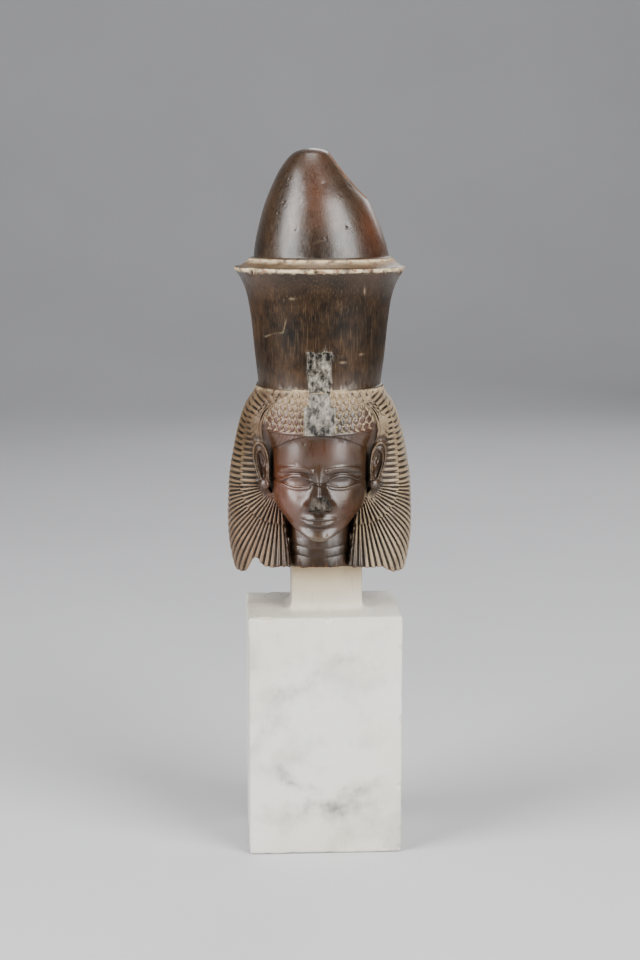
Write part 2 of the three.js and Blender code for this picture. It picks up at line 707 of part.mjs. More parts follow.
// Ears: a leaf standing out in front of the wig. Rings run from the deep middle over the rim to the root behind.
const EAR_X = 18.9;
const EAR_Y = -11.2;
const EAR_Z = 34.6;
const EAR_HALF_HEIGHT = 8.5;
const EAR_HALF_WIDTH = 3.1;
const EAR_TURN = 0.4; // how much the outer side lies further back
const EAR_LEAN = 0.13; // how much the top stands further out
const EAR_RINGS = [
  [0.3, 1.5],
  [0.48, 1.3],
  [0.6, -0.1],
  [0.74, 0.45],
  [0.9, -0.65],
  [1, 0],
  [0.96, 1.5],
  [0.7, 5],
];
function ear(side) {
  const rings = EAR_RINGS.map(([size, back]) =>
    fromTo(0, 2 * Math.PI, 14)
      .slice(1)
      .map((turn) => {
        const high = Math.cos(turn) * size;
        const wide = EAR_HALF_WIDTH * (0.78 + 0.36 * Math.cos(turn)) * Math.sin(turn) * size;
        const lobe = smooth(-0.35, -0.65, high);
        const hollow = back < 1.6 && size < 0.95 ? lerp(back, -0.55, lobe) : back;
        const x = EAR_X + wide + EAR_LEAN * high * EAR_HALF_HEIGHT;
        return [x, EAR_Y + hollow + EAR_TURN * wide, EAR_Z + high * EAR_HALF_HEIGHT];
      }),
  );
  const geometry = closedLoft(rings);
  if (side < 0) {
    geometry.scale(-1, 1, 1);
    const index = geometry.index.array;
    for (let i = 0; i < index.length; i += 3) [index[i + 1], index[i + 2]] = [index[i + 2], index[i + 1]];
  }
  return geometry;
}

// The scar of the cobra that stood on the brow: a rough strip up the cap and the front of the crown.
const SCAR_LOW = HAIRLINE + 0.3;
const SCAR_BLOCK = SCAR_LOW + 9.3;
const SCAR_HIGH = CROWN_BASE + 13;
const SCAR_ROUGH = 0.35;
function cobraScar() {
  const front = (z) =>
    z < CROWN_BASE
      ? Math.max(faceReach(z) + CAP_PROUD, 20)
      : drumRadius(z) - (z - CROWN_BASE) * Math.tan(CROWN_LEAN);
  const heights = [...fromTo(SCAR_LOW, SCAR_BLOCK, 5), ...fromTo(SCAR_BLOCK + 0.6, SCAR_HIGH, 7)];
  const rings = heights.map((z, i) => {
    const half = z <= SCAR_BLOCK ? 4.9 : lerp(3.4, 4, smooth(CROWN_BASE, SCAR_HIGH, z));
    const rough = (n) => SCAR_ROUGH * uneven(i, n);
    return [
      [half + rough(4), 3 - front(z)],
      [-half + rough(1), 3 - front(z)],
      [-half + rough(1), -0.3 - front(z)],
      [-half / 2, -1 - front(z) + rough(2)],
      [half / 3, -1 - front(z) + rough(3)],
      [half + rough(4), -0.3 - front(z)],
    ].map(([x, y]) => [x, y, z]);
  });
  return closedLoft(rings);
}

// A block with an uneven top, used to cut the breaks. It reaches over the given size and this far down.
const SLAB_DEEP = 8;
function roughSlab(width, depth, across, along, height) {
  const points = [];
  const faces = [];
  const at = (i, j) => [width * (i / across - 0.5), depth * (j / along - 0.5)];
  const put = (i, j, z) => points.push([...at(i, j), z]) - 1;
  const top = counted(0, across).map((i) => counted(0, along).map((j) => put(i, j, height(...at(i, j)))));
  for (let i = 0; i < across; i++) {
    for (let j = 0; j < along; j++) {
      faces.push([top[i][j], top[i + 1][j], top[i + 1][j + 1]], [top[i][j], top[i + 1][j + 1], top[i][j + 1]]);
    }
  }
  const rim = [
    ...counted(0, across).map((i) => [i, 0]),
    ...counted(1, along).map((j) => [across, j]),
    ...counted(across - 1, 0).map((i) => [i, along]),
    ...counted(along - 1, 1).map((j) => [0, j]),
  ];
  const base = rim.map(([i, j]) => put(i, j, -SLAB_DEEP));
  const hub = points.push([0, 0, -SLAB_DEEP]) - 1;
  rim.forEach(([i, j], n) => {
    const m = (n + 1) % rim.length;
    const [nextI, nextJ] = rim[m];
    faces.push(
      [base[n], base[m], top[nextI][nextJ]],
      [base[n], top[nextI][nextJ], top[i][j]],
      [hub, base[m], base[n]],
    );
  });
  return geometryOf(points, faces);
}

// The broken underside dips at both corners of the wig and has a notch beside the left one.
function undersideBreak() {
  return roughSlab(72, 72, 20, 10, (x, y) => {
    const edge = smooth(20, 25.5, Math.abs(x));
    const notch = 3.6 * bell((x + 20.5) / 2.6) * smooth(6, -4, y);
    return lerp(0.4 + 0.35 * uneven(Math.round(x), Math.round(y)), LOWEST, edge) + notch;
  });
}

// The seat is cut level a little wider than the stem.
const SEAT_MARGIN = 1;
function seat() {
  const geometry = new THREE.BoxGeometry(
    STEM_WIDTH / UNIT + 2 * SEAT_MARGIN,
    STEM_DEPTH / UNIT + 2 * SEAT_MARGIN,
    SLAB_DEEP,
  );
  geometry.translate((STEM_ASIDE - HEAD_ASIDE) / UNIT, 0, -SLAB_DEEP / 2);
  return geometry;
}

// The oblique break at the bulb's top right.
const BULB_BREAK = [6.2, 3.5, bulbAt(0.83)]; // a point on it
const BULB_BREAK_SLOPE = 127 * DEGREE;
function bulbBreak() {
  const geometry = roughSlab(40, 40, 12, 12, (x, y) => 0.3 * uneven(Math.round(x), Math.round(y)) - 0.006 * x * x);
  geometry.rotateY(-BULB_BREAK_SLOPE);
  geometry.translate(...BULB_BREAK);
  return geometry;
}

function stoneHead() {
  let stone = solidOf(wig());
  for (const piece of [faceAndCap(), neck(), crown(), ear(1), ear(-1), cobraScar()]) {
    stone = stone.add(solidOf(piece));
  }
  for (const lost of [undersideBreak(), seat(), bulbBreak()]) {
    stone = stone.subtract(solidOf(lost));
  }
  const geometry = geometryFrom(stone);
  geometry.scale(UNIT, UNIT, UNIT);
  return geometry;
}

const darkStone = new THREE.MeshStandardMaterial({ color: 0x4a3a2b, roughness: 0.38, metalness: 0 });
const marble = new THREE.MeshStandardMaterial({ color: 0xdedbd2, roughness: 0.35, metalness: 0 });

const part = new THREE.Group();

const mount = new THREE.Mesh(marbleMount(), marble);
mount.name = "marble_mount";
part.add(mount);

const head = new THREE.Mesh(stoneHead(), darkStone);
head.name = "stone_head";
head.position.set(HEAD_ASIDE, 0, PLINTH_HEIGHT + STEM_HEIGHT);
head.rotation.z = HEAD_TURN_DEGREES * DEGREE;
part.add(head);

export default part;
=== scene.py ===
# %% [markdown]
# # A queen's head in dark stone, on a marble mount
#
# The real object is a small head carved from one dark, fine-grained stone. It stands on the stem of a
# white marble plinth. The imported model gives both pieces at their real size. Here each one is carved
# again with finer relief, and gets its stone, its polish, its wear and the pale dust in its carved lines.

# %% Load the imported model
import math
import bmesh
import bpy
import numpy as np
from mathutils import Matrix, Vector


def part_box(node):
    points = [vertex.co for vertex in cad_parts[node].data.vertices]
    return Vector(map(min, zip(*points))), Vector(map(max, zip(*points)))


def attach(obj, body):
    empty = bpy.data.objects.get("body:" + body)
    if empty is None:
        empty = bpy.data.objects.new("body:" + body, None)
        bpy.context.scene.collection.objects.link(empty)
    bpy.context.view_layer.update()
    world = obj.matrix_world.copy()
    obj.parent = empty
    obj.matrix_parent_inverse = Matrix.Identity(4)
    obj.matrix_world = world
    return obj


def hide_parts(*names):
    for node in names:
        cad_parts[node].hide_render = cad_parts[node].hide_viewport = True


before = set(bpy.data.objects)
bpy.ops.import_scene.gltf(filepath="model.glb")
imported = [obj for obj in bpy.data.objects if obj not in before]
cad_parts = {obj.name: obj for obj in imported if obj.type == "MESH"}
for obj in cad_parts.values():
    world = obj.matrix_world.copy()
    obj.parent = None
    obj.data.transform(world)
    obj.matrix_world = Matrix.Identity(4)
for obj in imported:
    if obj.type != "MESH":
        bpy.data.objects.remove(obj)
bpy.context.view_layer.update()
MM = 0.001
head_low, head_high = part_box("stone_head")
mount_low, mount_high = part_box("marble_mount")
SEAT = mount_high[2] / MM  # the stem's top, where the head rests
print("stone:", [round(v / MM, 1) for v in head_low], "to", [round(v / MM, 1) for v in head_high])
print("mount:", [round(v / MM, 1) for v in mount_low], "to", [round(v / MM, 1) for v in mount_high])

# %% [markdown]
# ## How the stone is carved here
#
# A sculptor starts from a block and takes stone away. This could be copied with Blender's sculpt brushes
# or with boolean cuts, but fine feathers would need thousands of strokes. Instead the stone is a distance
# field: a function that says for any point how deep it lies in the stone (negative) or how far off
# (positive). Shapes are joined with a soft minimum, cut with a maximum, and every carved line is a small
# change of the distance. At the end, the surface where the field is zero becomes a mesh.

# %% Soft steps, bells and smooth curves
def clamp01(v):
    return np.clip(v, 0.0, 1.0)


def mix(a, b, t):
    return a + (b - a) * t


def smooth(start, end, v):
    t = clamp01((v - start) / (end - start))
    return t * t * (3 - 2 * t)


def bell(d):
    return np.exp(-d * d)


def join(a, b, soft=0.0):
    if soft <= 0:
        return np.minimum(a, b)
    h = np.maximum(soft - np.abs(a - b), 0) / soft
    return np.minimum(a, b) - h * h * soft * 0.25


def cut(a, b, soft=0.0):
    return -join(-a, -b, soft)


def corner_of(a, b, edge):
    """The corner where two sides meet, rounded by this much. Beside it, the nearer side counts."""
    return np.hypot(np.maximum(a, 0), np.maximum(b, 0)) + np.minimum(np.maximum(a, b), 0) - edge


def profile(points):
    """A smooth curve through (height, value) points, level beyond its ends."""
    zs = np.array([p[0] for p in points], dtype=np.float64)
    vs = np.array([p[1] for p in points], dtype=np.float64)
    slope = np.empty_like(vs)
    for i in range(len(zs)):
        a, b = max(0, i - 1), min(len(zs) - 1, i + 1)
        slope[i] = (vs[b] - vs[a]) / (zs[b] - zs[a])
    fine = np.linspace(zs[0], zs[-1], 1500)
    i = np.clip(np.searchsorted(zs, fine, side="right") - 1, 0, len(zs) - 2)
    h = zs[i + 1] - zs[i]
    t = (fine - zs[i]) / h
    drawn = ((2 * t**3 - 3 * t**2 + 1) * vs[i] + (t**3 - 2 * t**2 + t) * h * slope[i]
             + (3 * t**2 - 2 * t**3) * vs[i + 1] + (t**3 - t**2) * h * slope[i + 1])

    def value(z):
        return np.interp(z, fine, drawn).astype(np.float32)

    return value


print("a bell is", round(float(bell(np.float32(1.0))), 3), "high one width from its middle")

# %% [markdown]
# ## Unevenness
#
# Broken stone is rough at several sizes at once. Blender's noise textures could push the vertices, but
# the field needs its own noise, because breaks are part of the shape. Value noise mixes random numbers
# that sit on a grid.

# %% Value noise
def grain_at(x, y, z, size, seed):
    """Uneven values between -1 and 1 that change over about this many millimetres."""
    px, py, pz = x / size + seed * 3.7, y / size - seed * 1.9, z / size + seed * 5.3
    ix, iy, iz = np.floor(px), np.floor(py), np.floor(pz)
    fx, fy, fz = px - ix, py - iy, pz - iz
    fx, fy, fz = (f * f * (3 - 2 * f) for f in (fx, fy, fz))
    ix, iy, iz = (i.astype(np.int64) & 0xFFFF for i in (ix, iy, iz))

    def corner(a, b, c):
        h = (ix + a) * 73856093 ^ (iy + b) * 19349663 ^ (iz + c) * 83492791 ^ (seed * 2654435761)
        h = (h ^ (h >> 13)) * 1274126177 & 0xFFFFFFFF
        return ((h ^ (h >> 16)) & 0xFFFF).astype(np.float32) / 32767.5 - 1.0

    low = mix(mix(corner(0, 0, 0), corner(1, 0, 0), fx), mix(corner(0, 1, 0), corner(1, 1, 0), fx), fy)
    high = mix(mix(corner(0, 0, 1), corner(1, 0, 1), fx), mix(corner(0, 1, 1), corner(1, 1, 1), fx), fy)
    return mix(low, high, fz).astype(np.float32)


def rough_at(x, y, z, seed):
    """Broken stone: large lumps, small lumps and grain, about 1 high in all."""
    lumps = grain_at(x, y, z, 3.2, seed) * 0.55
    small = grain_at(x, y, z, 1.3, seed + 1) * 0.35
    return lumps + small + grain_at(x, y, z, 0.6, seed + 2) * 0.2


one = np.float32([0.4])
print("noise at one point:", round(float(grain_at(one, one, one, 2.0, 1)[0]), 3))

# %% [markdown]
# ## The canon of the face
#
# Egyptian workshops drew a figure on a grid before carving it. The face here is a calm, general one on
# equal thirds: chin to nose, nose to brow, brow to hairline. Heights are in millimetres above the seat on
# the stem.

# %% Heights and the mass of the face
CHIN = 10.0
THIRD = 12.0
NOSE = CHIN + THIRD
BROW = NOSE + THIRD
HAIRLINE = BROW + THIRD
MOUTH = NOSE - THIRD / 3
EYE = BROW - 3.8
CROWN_BASE = 60.0
CROWN_RIM = 98.0
CROWN_TOP = 137.0
WIG_TOP = CROWN_BASE + 0.4
LOWEST = -2.0


def cap_at(share):
    return mix(HAIRLINE, CROWN_BASE, share)


face_half_width = profile([
    (CHIN, 6.4), (CHIN + 1.5, 9), (CHIN + 4, 11.9), (MOUTH, 14.2), (NOSE, 15.6), (NOSE + 4, 16.3),
    (EYE, 16.6), (BROW + 2, 16.5), (HAIRLINE - 4, 16.6), (cap_at(0.04), 18.8), (cap_at(0.29), 20.3),
    (cap_at(0.57), 20.6), (cap_at(0.79), 19.9), (WIG_TOP, 20.4)])
face_reach = profile([
    (CHIN, 19.4), (CHIN + 1.3, 21.3), (CHIN + 3, 21.9), (CHIN + 5.6, 20.8), (MOUTH, 21.2), (NOSE, 21.1),
    (NOSE + 4, 20.6), (EYE, 20.4), (BROW, 21.3), (BROW + 6, 21.6), (cap_at(0), 21.1), (cap_at(0.43), 21.1),
    (cap_at(0.79), 20.7), (WIG_TOP, 19.7)])
FACE_SIDE = 2.0


def jaw_tilt(z):
    return 0.45 * smooth(NOSE + 4, CHIN + 2, z)


print("the face is", 3 * THIRD, "mm high and", 2 * round(float(face_half_width(EYE)), 1), "mm wide")

# %% [markdown]
# ## Nose, eyes, brows and lips
#
# Each feature is a height in front of the face's mass. The lids have a raised rim and a fine crease
# above, the brows are low bands, and the lips meet in a cut line. The tip of the nose is struck off, as
# on the real head.

# %% Features of the face
nose_ridge = profile([
    (NOSE - 0.9, 0), (NOSE - 0.2, 1.5), (NOSE + 0.6, 3.6), (NOSE + 1.7, 4.8), (NOSE + 3.4, 4.3),
    (NOSE + 6, 3), (EYE, 2.0), (BROW - 1, 1.2), (BROW + 2.5, 0)])
nose_width = profile([(NOSE, 2.6), (NOSE + 2, 2.4), (NOSE + 6, 1.9), (EYE, 1.7), (BROW, 2.6)])
EYE_X, EYE_HALF = 7.3, 4.7
LIP_HALF = 5.5


def nose_break(x, z):
    return bell((x - 0.6) / 4.2) * smooth(NOSE + 5.2, NOSE + 3.6, z)


def nose(x, z):
    ridge = nose_ridge(z) * bell(x / nose_width(z))
    flank = 1.3 * bell(x / 4.2) * bell((z - NOSE - 3.4) / 4.6)
    wing = 2.3 * bell((np.abs(x) - 3.2) / 1.5) * bell((z - NOSE - 1.1) / 1.5)
    nostril = -0.9 * bell((np.abs(x) - 1.9) / 0.8) * bell((z - NOSE + 0.25) / 0.55)
    whole = ridge + flank + wing + nostril
    broken_to = 3.4 - 0.28 * x + 0.9 * rough_at(x * 1.3, z * 1.3, x * 0 + 2.0, 21)
    return np.where(nose_break(x, z) > 0.35, np.minimum(whole, broken_to), whole)


def eye_arch(x):
    return np.maximum(0, 1 - ((np.abs(x) - EYE_X) / EYE_HALF) ** 2)


def eye(x, z):
    across = (np.abs(x) - EYE_X) / EYE_HALF
    arch = eye_arch(x)
    up = z - EYE - (0.35 + 1.6 * arch**0.8)
    down = z - EYE + (0.35 + 1.0 * arch**0.9)
    near = np.where(across < 0, smooth(-1.04, -0.86, across), smooth(1.5, 1.1, across))
    socket = -1.3 * bell((np.abs(x) - EYE_X + 0.7) / 5.2) * bell((z - EYE - 0.6) / 3.3)
    ball = (0.95 * arch**0.5 - 0.85) * smooth(0.12, -0.12, up) * smooth(-0.12, 0.12, down)
    lids = near * (0.85 * smooth(-0.05, 0.12, up) * smooth(1.25, 0.55, up))
    lids = lids + near * 0.6 * smooth(0.05, -0.12, down) * smooth(-1.2, -0.5, down)
    edge_cut = -0.2 * near * (bell((up + 0.14) / 0.16) + bell((down - 0.14) / 0.16))
    crease = -0.3 * near * bell((up - 1.45) / 0.24) * smooth(0.0, 0.25, arch)
    return socket + ball + lids + edge_cut + crease


def brow(x, z):
    out = np.abs(x)
    off = z - (BROW + 1 - 0.026 * (out - 7) ** 2)
    band = 0.75 * smooth(1.0, 0.7, np.abs(off))
    return band * smooth(1.4, 2.8, out) * smooth(14, 12.4, out)


def lips(x, z):
    full = np.maximum(0, 1 - (x / LIP_HALF) ** 2)
    spread = mix(0.7, 2.5, full**0.7) + 0.5 * smooth(LIP_HALF, 9, np.abs(x))
    o = (z - MOUTH - 0.35 * smooth(0, LIP_HALF, np.abs(x))) / spread
    muzzle = 0.9 * bell(x / 6.2) * bell((z - MOUTH) / 4.2)
    upper = 1.05 * full**0.6 * bell((o - 0.42) / 0.42)
    lower = 1.25 * full**0.7 * bell((o + 0.46) / 0.48)
    parting = -0.5 * smooth(1.25, 0.9, np.abs(x) / LIP_HALF) * bell(o / 0.13)
    hollow = -0.35 * bell(x / 0.9) * bell((z - MOUTH - 2.9) / 1.0)
    return muzzle + upper + lower + parting + hollow


def cheeks_and_chin(x, z):
    cheeks = 0.7 * bell((np.abs(x) - 9.5) / 4.5) * bell((z - NOSE - 3.5) / 4.5)
    fold = -0.12 * bell((np.abs(x) - 5.2 - 0.45 * (NOSE - z)) / 0.8) * smooth(NOSE + 1, NOSE - 1, z)
    chin = 0.7 * bell(x / 4.4) * bell((z - CHIN - 2.6) / 2.2)
    return cheeks + chin + fold * smooth(MOUTH - 2, MOUTH, z)


def features(x, z):
    return nose(x, z) + eye(x, z) + brow(x, z) + lips(x, z) + cheeks_and_chin(x, z)


nose_bridge = features(np.float32([0.0]), np.float32([NOSE + 5.5]))[0]
print("the nose's bridge stands", round(float(nose_bridge), 2), "mm proud")

# %% [markdown]
# ## The vulture cap
#
# A queen's vulture headdress has small drop-shaped feathers over the brow. They overlap downwards, and
# each row is set half a feather to the side. One function gives the pillow of a single feather, and the
# rows repeat it.

# %% Drop-shaped scales
CAP_FEATHER = 2.15
BAND_LOW, BAND_HIGH = HAIRLINE + 0.35, HAIRLINE + 1.15


def hair_arch(x):
    return HAIRLINE - 7.6 * (np.abs(x) / 17) ** 2.6


def scales(u, v, wide, high):
    """Overlapping feathers, 0 in the carved lines and 1 on a feather. Their tips point down along v."""
    tip = 0.95 * high

    def lower_edge(row):
        side = u / wide + 0.5 * (row % 2)
        across = (side - np.floor(side) - 0.5) * 2
        rounding = np.sqrt(np.maximum(1 - across**2, 0.03))
        steep = tip * across / rounding / (wide / 2)
        return row * high - tip * rounding, 1 / np.sqrt(1 + steep**2)

    row = np.floor(v / high) + 1
    row = np.where(v >= lower_edge(row)[0], row, row - 1)
    own_edge, own_slant = lower_edge(row)
    next_edge, next_slant = lower_edge(row + 1)
    to_line = np.minimum((v - own_edge) * own_slant, (next_edge - v) * next_slant)
    return 1 - (1 - clamp01(to_line / (0.24 * wide))) ** 2.2


def cap_relief(x, z):
    over = smooth(-0.3, 0.3, z - hair_arch(x))
    on_scales = smooth(BAND_HIGH, BAND_HIGH + 0.3, z)
    feathers = scales(x, z - BAND_HIGH + 0.2, CAP_FEATHER, CAP_FEATHER)
    band = 0.5 * smooth(BAND_LOW - 0.2, BAND_LOW + 0.1, z) * smooth(BAND_HIGH + 0.15, BAND_HIGH - 0.1, z)
    lock_turn = np.abs(x) + 0.55 * (z - 40)
    locks = 0.3 * (np.abs(np.sin(lock_turn * 2.3)) ** 0.6 - 0.6)
    hair = locks * smooth(BAND_LOW, BAND_LOW - 0.4, z) * smooth(0.1, 0.5, z - hair_arch(x))
    return over * (0.9 + band + hair + on_scales * (0.85 * feathers - 0.6))


print("one feather of the cap is", CAP_FEATHER, "mm wide")

# %% The face and the cap as one field
def face_and_cap(x, y, z):
    ahead = -y
    level = z - np.maximum(0, face_reach(z) - ahead) * jaw_tilt(z)
    wide = face_half_width(level)
    deep = face_reach(level) - FACE_SIDE
    power = mix(2.25, 2.0, smooth(HAIRLINE - 2, HAIRLINE + 8, level))
    out = ahead - FACE_SIDE
    facing = smooth(0.0, 0.5, np.clip(out / deep, 0, 1) ** (power / 2))
    raised = facing * (features(x, np.where(z < 30, level, z)) + cap_relief(x, z))
    out = out - raised
    back = np.where(out < 0, 0.45, 1.0)
    g = ((np.abs(x) / wide) ** power + (np.abs(out) / (deep * back)) ** power) ** (1 / power)
    d = (g - 1) * np.minimum(wide, deep)
    d = cut(d, (CHIN - level) * 0.9, 2.4)
    return np.maximum(d, z - WIG_TOP)


NECK_HALF_WIDTH, NECK_HALF_DEPTH, NECK_TOP = 11, 10, 24
neck_reach = profile([(-4, 12.6), (NECK_TOP, 10.5)])


def neck(x, y, z):
    reach = neck_reach(z)
    creases = 0.22 * (bell((z - 3.6 - 0.012 * x * x) / 0.3) + 0.8 * bell((z - 6.6 - 0.014 * x * x) / 0.3))
    g = np.hypot(x / NECK_HALF_WIDTH, (y + reach - NECK_HALF_DEPTH) / NECK_HALF_DEPTH)
    return np.maximum((g - 1) * NECK_HALF_DEPTH + creases, z - NECK_TOP)


print("the neck is", 2 * NECK_HALF_WIDTH, "mm wide")

# %% [markdown]
# ## The wig
#
# Below the cap, the vulture's wings fall over a heavy wig. Seen from above the wig is a rounded block.
# Its outline is measured along the girth, from the middle of the front round to the middle of the back,
# so that the feathers can be drawn on the unrolled surface as on a flat sheet.

# %% The block of the wig
wig_half_width = profile([
    (-4, 27.2), (LOWEST, 28.2), (2, 29.4), (9, 30.5), (19, 30.8), (29, 30.3), (39, 28.7),
    (cap_at(0.21), 26.3), (cap_at(0.57), 24.3), (cap_at(0.82), 22), (WIG_TOP, 20.8)])
wig_front = profile([
    (-4, 12), (6, 10.6), (18, 8.8), (30, 8), (38, 9.3), (42, 10.4), (cap_at(0.04), 12.6),
    (cap_at(0.29), 14.6), (cap_at(0.57), 16.8), (cap_at(0.79), 19), (WIG_TOP, 20.8)])
wig_back = profile([(-4, 20), (12, 22.5), (30, 24), (44, 23.8), (cap_at(0.57), 22.4), (WIG_TOP, 20.8)])
front_corner = profile([(30, 10), (cap_at(0.14), 14), (WIG_TOP, 20.8)])
back_corner = profile([(30, 15), (cap_at(0.14), 16), (WIG_TOP, 20.8)])


def wig_girth(x, y, z):
    """How far round the wig a point lies, from the middle of the front."""
    half, r1, r2 = wig_half_width(z), front_corner(z), back_corner(z)
    front, back = -wig_front(z), wig_back(z)
    out = np.abs(x)
    quarter = math.pi / 2
    turn1 = np.arctan2(out - half + r1, front + r1 - y)
    turn2 = np.arctan2(y - back + r2, out - half + r2)
    side = half - r1 + quarter * r1
    far = side + (back - front - r1 - r2)
    at_front = (out < half - r1) & (y < front + r1)
    at_back = (out < half - r2) & (y > back - r2)
    s = side + (y - front - r1)
    s = np.where((y < front + r1) & ~at_front, half - r1 + r1 * np.clip(turn1, 0, quarter), s)
    s = np.where((y > back - r2) & ~at_back, far + r2 * np.clip(turn2, 0, quarter), s)
    s = np.where(at_back, far + quarter * r2 + half - r2 - out, s)
    return np.where(at_front, out, s)


def wig_half_girth(z):
    corners = (math.pi / 2 - 2) * (front_corner(z) + back_corner(z))
    return 2 * wig_half_width(z) + wig_back(z) + wig_front(z) + corners


print("the wig is", round(2 * float(wig_half_girth(20)), 1), "mm round")

# %% [markdown]
# ## Two rows of long feathers
#
# The feathers fan out from the ear: level at the side of the head, rising to the crown, hanging beside
# the neck. Every feather has a number, a place across its width and a place along its length, found from
# the girth and the height. A narrow groove between rounded crests is all that the carver cut, and each
# row steps down to the next.

# %% The relief of the wings
FAN_S, FAN_Z, FAN_START, ROW_ONE = 13.0, 28.0, 4.0, 13.6
ARC_S = FAN_S + ROW_ONE
HIGHEST = CROWN_BASE + 6
UPPER_FEATHERS, INNER_FEATHERS, OUTER_FEATHERS = 20, 15, 23
UPPER_TILT = math.radians(20)
LAST_ANGLE = math.radians(97)
WING_END = 40.0
leading_edge = profile([
    (FAN_Z, FAN_S + FAN_START), (36, 16.4), (42, 17.6), (cap_at(0), 18.4), (cap_at(0.29), 18.1),
    (cap_at(0.5), 17), (cap_at(0.79), 13.2), (cap_at(1), 9.2)])


def feather_place(s, z):
    """The feather's number in each row (its fraction says where across it), and the way along and round."""
    at_arc = z.copy()
    for _ in range(5):
        at_arc = z - (s - ARC_S) * np.tan(UPPER_TILT * clamp01((at_arc - 36) / 24))
    upper = (HIGHEST - at_arc) / (HIGHEST - FAN_Z) * UPPER_FEATHERS
    angle = np.arctan2(FAN_Z - z, s - FAN_S)
    below = z < FAN_Z
    inner = np.where(below, UPPER_FEATHERS + angle / LAST_ANGLE * INNER_FEATHERS, upper)
    outer = np.where(below, UPPER_FEATHERS + angle / LAST_ANGLE * OUTER_FEATHERS, upper) + 0.5
    along = np.where(below, np.hypot(s - FAN_S, z - FAN_Z), s - FAN_S)
    return inner, outer, along, angle


def from_middle(number):
    """0 on a feather's middle line and 1 in the groove beside it."""
    return np.abs(2 * (number - np.floor(number)) - 1)


def crest(number, sharp=2.4):
    return 1 - from_middle(number) ** sharp


def wing_relief(s, z):
    inner, outer, along, angle = feather_place(s, z)
    across = from_middle(inner)
    tip = ROW_ONE - 1.3 * across**2
    first = smooth(tip + 0.12, tip - 0.12, along)
    room = np.where(z < FAN_Z, along * LAST_ANGLE / INNER_FEATHERS, 1.9)
    row_one = 0.5 - 1.05 * (1 - crest(inner)) * smooth(0.35, 1.1, room)
    row_two = -1.0 * (1 - crest(outer)) - 0.05
    long_feathers = mix(row_two, row_one, first)
    edge_off = s - leading_edge(z)
    high = smooth(40, 45, z)
    near_edge = smooth(4.2, 3.8, edge_off - 1.0 * across) * high
    small = 0.8 * scales(edge_off * 0.9 + z * 0.3, HIGHEST - z + 0.3 * s, 1.6, 1.6) - 0.35
    relief = mix(long_feathers, small, near_edge)
    double = 0.85 * smooth(0.45, 0.25, np.abs(edge_off - 0.5))
    double = double + 0.6 * smooth(0.4, 0.2, np.abs(edge_off - 1.6))
    groove = -0.2 * bell((edge_off - 1.05) / 0.25)
    on_edge = high * smooth(2.2, 2.0, edge_off)
    relief = mix(relief, double + groove, on_edge)
    start = np.where(z < FAN_Z, along - FAN_START, edge_off)
    relief = mix(-2.2, relief, smooth(-0.25, 0.1, start))
    return np.where((z < FAN_Z) & (angle > LAST_ANGLE), -5.0, relief)


def back_relief(s, z):
    lock = (s - WING_END) / (wig_half_girth(z) - WING_END) * 20
    return -0.5 * (1 - crest(lock, 2.5)) - 0.3 * (1 - crest(lock * 0.5, 5.0)) - 0.1


def wig(x, y, z):
    half, front, back = wig_half_width(z), -wig_front(z), wig_back(z)
    middle, deep = (back + front) / 2, (back - front) / 2
    r = np.where(y < middle, front_corner(z), back_corner(z))
    d = corner_of(np.abs(x) - half + r, np.abs(y - middle) - deep + r, r)
    s = wig_girth(x, y, z)
    outer = feather_place(s, z)[1]
    wing_tip = WING_END - 0.9 * from_middle(outer) ** 2
    carved = mix(back_relief(s, z), wing_relief(s, z), smooth(wing_tip + 0.1, wing_tip - 0.1, s))
    d = d - carved * smooth(WIG_TOP, WIG_TOP - 2.0, z)
    return np.maximum(d, z - WIG_TOP)


print("each wing has", UPPER_FEATHERS + OUTER_FEATHERS, "feathers in its outer row")

# %% [markdown]
# ## The ears
#
# The ears stand out in front of the wig. Each is a leaf with a raised rim, an inner ridge and a deep
# hollow, and a smooth lobe below. Its depth is read from a curve that runs from the middle of the ear to
# its edge.

# %% Ears
EAR_X, EAR_Y, EAR_Z = 18.9, -11.2, 34.6
EAR_HALF_HEIGHT, EAR_HALF_WIDTH = 8.5, 3.1
EAR_TURN, EAR_LEAN = 0.4, 0.13
ear_front = profile([
    (0.0, 1.6), (0.34, 1.6), (0.5, 1.2), (0.62, -0.15), (0.76, 0.4), (0.9, -0.6), (1.0, 0.1)])
ear_back = profile([(0.0, 5.5), (0.7, 5.0), (0.96, 1.6), (1.02, 0.6)])


def ear(x, y, z):
    high = (z - EAR_Z) / EAR_HALF_HEIGHT
    wide = np.abs(x) - EAR_X - EAR_LEAN * (z - EAR_Z)
    leaf = EAR_HALF_WIDTH * (0.8 + 0.34 * np.clip(high, -1, 1) + 0.36 * bell((high + 0.78) / 0.24))
    size = np.hypot(wide / leaf, high)
    lobe = smooth(-0.42, -0.6, high)
    round_lobe = -0.9 + 1.4 * np.minimum(1, np.hypot(wide / 2.0, (high + 0.74) / 0.24)) ** 3
    front = mix(ear_front(size), round_lobe, lobe)
    tragus = -1.3 * bell((wide + 1.5) / 0.8) * bell((high + 0.12) / 0.14)
    ridge = 0.7 * bell((wide - 0.2 - 0.9 * (high - 0.3)) / 0.5) * smooth(-0.2, 0.1, high)
    tragus = tragus - ridge * smooth(0.75, 0.5, size)
    inward = y - EAR_Y - EAR_TURN * wide
    d = np.maximum((front + tragus - inward) * 0.8, (inward - ear_back(size)) * 0.6)
    return cut(d, (size - 1) * 2.6, 0.5)


def behind_the_temples(x, y, z):
    """Stone left between face, ear and wing, so that no deep slit opens in front of the ear."""
    share = clamp01((z - 30) / 19)
    middle = mix(17.0, 18.0, share)
    forward = mix(4.6, 8.4, share**1.5)
    return np.sqrt((np.abs(x) - middle) ** 2 + (y + forward) ** 2 + (z - mix(30, 49, share)) ** 2) - 4.4


